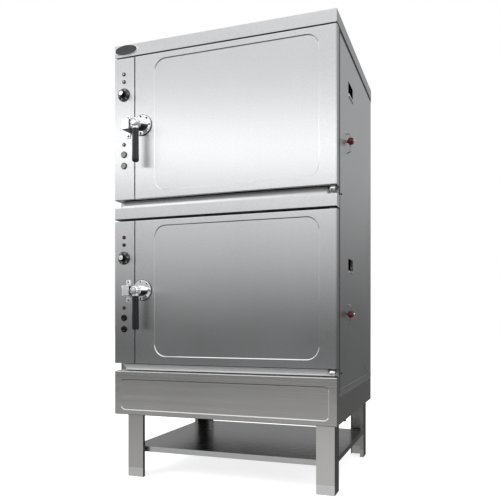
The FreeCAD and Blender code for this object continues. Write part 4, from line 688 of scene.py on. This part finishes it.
# Painted shade on the keeper's underside.
paint_faces(keeper_block, shadow_dark, lambda face: face.normal.z < -0.4)
keeper_strap = block("keeper_strap_lower", chrome, place(keeper_right - 33, -3.0, base - 41),
                     place(keeper_right - 17, -0.1, base + 41), 1.3)
strap_screw = another(screw, "strap_screw_lower_0", place(keeper_right - 25, 1.9, base + 33.5) - first)
for deck, shift in deck_shift.items():
    for piece in (keeper_block, keeper_strap):
        copy = piece if deck == "lower" else another(piece, piece.name.replace("lower", deck), shift)
        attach(copy, "cabinet")
    for index, drop in enumerate((0.0, -67.0)):
        name = "strap_screw_%s_%d" % (deck, index)
        copy = strap_screw if name == strap_screw.name else another(strap_screw, name, shift + UP * drop * MM)
        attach(copy, "cabinet")
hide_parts("latch_keepers")
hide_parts("keeper_screws")

# %% [markdown]
# The valve handles are round knobs with five pressed flutes and a bright nut at the end.

# %% Valve handles
valve_centre = place(418.5, 158.0, deck_bottoms["lower"] + 182.0)
handle_shape = [(0, 4), (5.5, 4), (5.5, 9), (8.5, 10), (11.6, 12.5), (13.0, 16.5), (12.8, 21), (11.4, 25.5), (8.4, 28.4),
                (5, 29.6), (0, 29.6)]
nut_shape = [(0, 29.0), (3.9, 29.0), (3.9, 31.4), (3.2, 32.6), (1.6, 33.0), (0, 33.0)]
valve_knob = turned("valve_knob_lower", handle_red, valve_centre, RIGHT, handle_shape, 30)
valve_nut = turned("valve_nut_lower", chrome, valve_centre, RIGHT, nut_shape, 24)


def is_lobe_gap(face):
    arm = face.center - valve_centre
    turn = int(math.degrees(math.atan2(arm.z, arm.y)) % 360 // 12)
    return turn % 6 < 3 and 0.010 < arm.x < 0.0262


pick_faces(valve_knob, is_lobe_gap)
bpy.ops.mesh.inset(thickness=0.0006, depth=-0.0046)
bpy.ops.object.mode_set(mode="OBJECT")
for deck, shift in deck_shift.items():
    for piece in (valve_knob, valve_nut):
        copy = piece if deck == "lower" else another(piece, piece.name.replace("lower", deck), shift)
        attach(copy, "valve_" + deck)
    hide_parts("valve_handle_" + deck)
print("valve handles", len(deck_shift))

# %% [markdown]
# A hem closes the cover's front edge, a sloped ledge leads drips off the middle fascia, and a black strip in
# the gap above the stand is painted shade. Along the right edge of the front runs a black seal, and a black
# strip under the cover's lip is painted shade of the lip. Below each door a domed nut closes the hinge pin.
# A rivet holds the side panel beside the fascia.

# %% Seals, painted shade strips and hinge nuts
hem = block("cover_hem", cover_steel, place(-419, 0.2, 1574.2), place(419, 1.5, 1577.3), 0.3)
# A black strip in the gap above the stand: painted shade.
gap_strip = block("gap_strip", seal_rubber, place(-392, 38.8, 402.6), place(416, 41.8, 408.6), 0.4)
gutter_lip = block("gutter_lip", light_metal, place(-392, 34.0, 408.8), place(404, 41.8, 419.0), 0.8)
ledge = block("fascia_ledge", outer_steel, place(-392, 1.6, 1004), place(384, 41.6, 1024.1), 0.4)
pick_faces(ledge, lambda face: True)
bpy.ops.mesh.bisect(plane_co=place(0, 1.8, 1010.5), plane_no=(0, -13.5, 28.5), use_fill=True, clear_outer=True)
bpy.ops.object.mode_set(mode="OBJECT")
side_seal = block("side_seal", seal_rubber, place(417.3, 41.5, 352), place(419.2, 57.0, 1571), 0.6)
# A black strip under the cover's lip: painted shade.
lip_seal = block("lip_seal", seal_rubber, place(418.2, 44.0, 1565.0), place(419.3, 756.0, 1572.5), 0.4)
panel_foot = block("panel_foot", side_steel, place(418.0, 57.0, 352.6), place(419.4, 756.0, 362.6), 0.5)
for piece in (side_seal, lip_seal, hem, gap_strip, gutter_lip, ledge, panel_foot):
    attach(piece, "cabinet")
dome_shape = [(0, 0), (5.5, 0.2), (8.4, 1.8), (10.4, 4.6), (11.2, 8.2), (10.6, 11.8), (8.6, 14.8), (5.6, 16.8), (2.7, 17.7), (0, 18.0)]
hinge_nut = turned("hinge_nut_lower", cap_metal, place(402.5, 13.0, deck_bottoms["lower"] - 3.6), DOWN, dome_shape, 32)
rivet_shape = [(0, 0), (3.2, 0), (3.4, 0.6), (3.4, 3.6), (2.6, 4.6), (1.2, 4.9), (0, 5.0)]
rivet = turned("side_rivet_lower", shadow_dark, place(418.4, 72.0, deck_bottoms["lower"] - 19.0), RIGHT, rivet_shape, 24)
for deck, shift in deck_shift.items():
    for piece in (hinge_nut, rivet):
        copy = piece if deck == "lower" else another(piece, piece.name.replace("lower", deck), shift)
        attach(copy, "cabinet")

# %% [markdown]
# The badge is an oval: the same lathe makes it round, and a resize in edit mode stretches it sideways.

# %% Badge
badge_low, badge_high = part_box("badge_plate")
badge_middle = Vector(((badge_low[0] + badge_high[0]) / 2 - 0.003, front_y, (badge_low[2] + badge_high[2]) / 2))
tall = 19.4
badge_shape = 48.8 / tall
badge = turned("badge_oval", badge_dark, badge_middle, FRONT,
               [(0, 0.1), (tall, 0.1), (tall, 1.2), (tall - 0.3, 1.9), (tall - 0.8, 2.1), (tall - 1.2, 1.9), (tall - 1.4, 1.0), (0, 1.1)], 72)
paint_faces(badge, chrome, lambda face: off_axis(badge_middle, FRONT)(face) > tall - 1.35)
pick_faces(badge, lambda face: True)
bpy.ops.transform.resize(value=(badge_shape, 1, 1), center_override=badge_middle)
bpy.ops.object.mode_set(mode="OBJECT")
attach(badge, "cabinet")
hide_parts("badge_plate")
print("badge", [round(v, 4) for v in badge.dimensions])

# %% [markdown]
# Two finishes change with height. The button rings are black below and grey above. The gutters carry
# painted shade right under the doors, deeper under the upper door, and a light tone further down.

# %% Finishes that follow the height
material, bench = new_material("button_rings")
point = bench.where()
x, y, z = bench.axes(point)
patch = bench.noise(point, 240.0, 2.0)
ring_colour = bench.blend(z.band(0.8, 0.9), (0.006, 0.006, 0.007), (0.085, 0.09, 0.095))
inputs = {"Base Color": bench.shade(ring_colour, 0.9 + 0.2 * patch), "Roughness": 0.26 + 0.14 * patch, "Specular IOR Level": 0.25}
bench.finish(bench.surface(inputs))
dress(material, "switch_blocks")

material, bench = new_material("gutter_sheet")
point = bench.where()
x, y, z = bench.axes(point)
rise = (z - 0.400).math("MODULO", (deck_bottoms["upper"] - deck_bottoms["lower"]) * MM)
lines = bench.noise(bench.stretched(point, (2.2, 420, 420)), 1.0, 3.0, 0.6)
# Painted shade: darkest just under each door, deeper under the upper one, light further down.
painted_shade_depth = 0.50 + 0.43 * z.band(0.8, 0.9)
light = 0.98 - painted_shade_depth * rise.band(0.012, 0.031)
inputs = {"Base Color": bench.shade((1.0, 1.0, 1.0), light * (0.92 + 0.16 * lines)), "Metallic": 0.0,
          "Roughness": 0.38 + 0.1 * lines, "Normal": bench.bump(lines, 0.1, 0.0003)}
bench.finish(bench.surface(inputs))
dress(material, "drip_gutters")
# The ledge and the gutter lip take the same painted shade.
for name in ("fascia_ledge", "gutter_lip"):
    bpy.data.objects[name].data.materials[0] = material
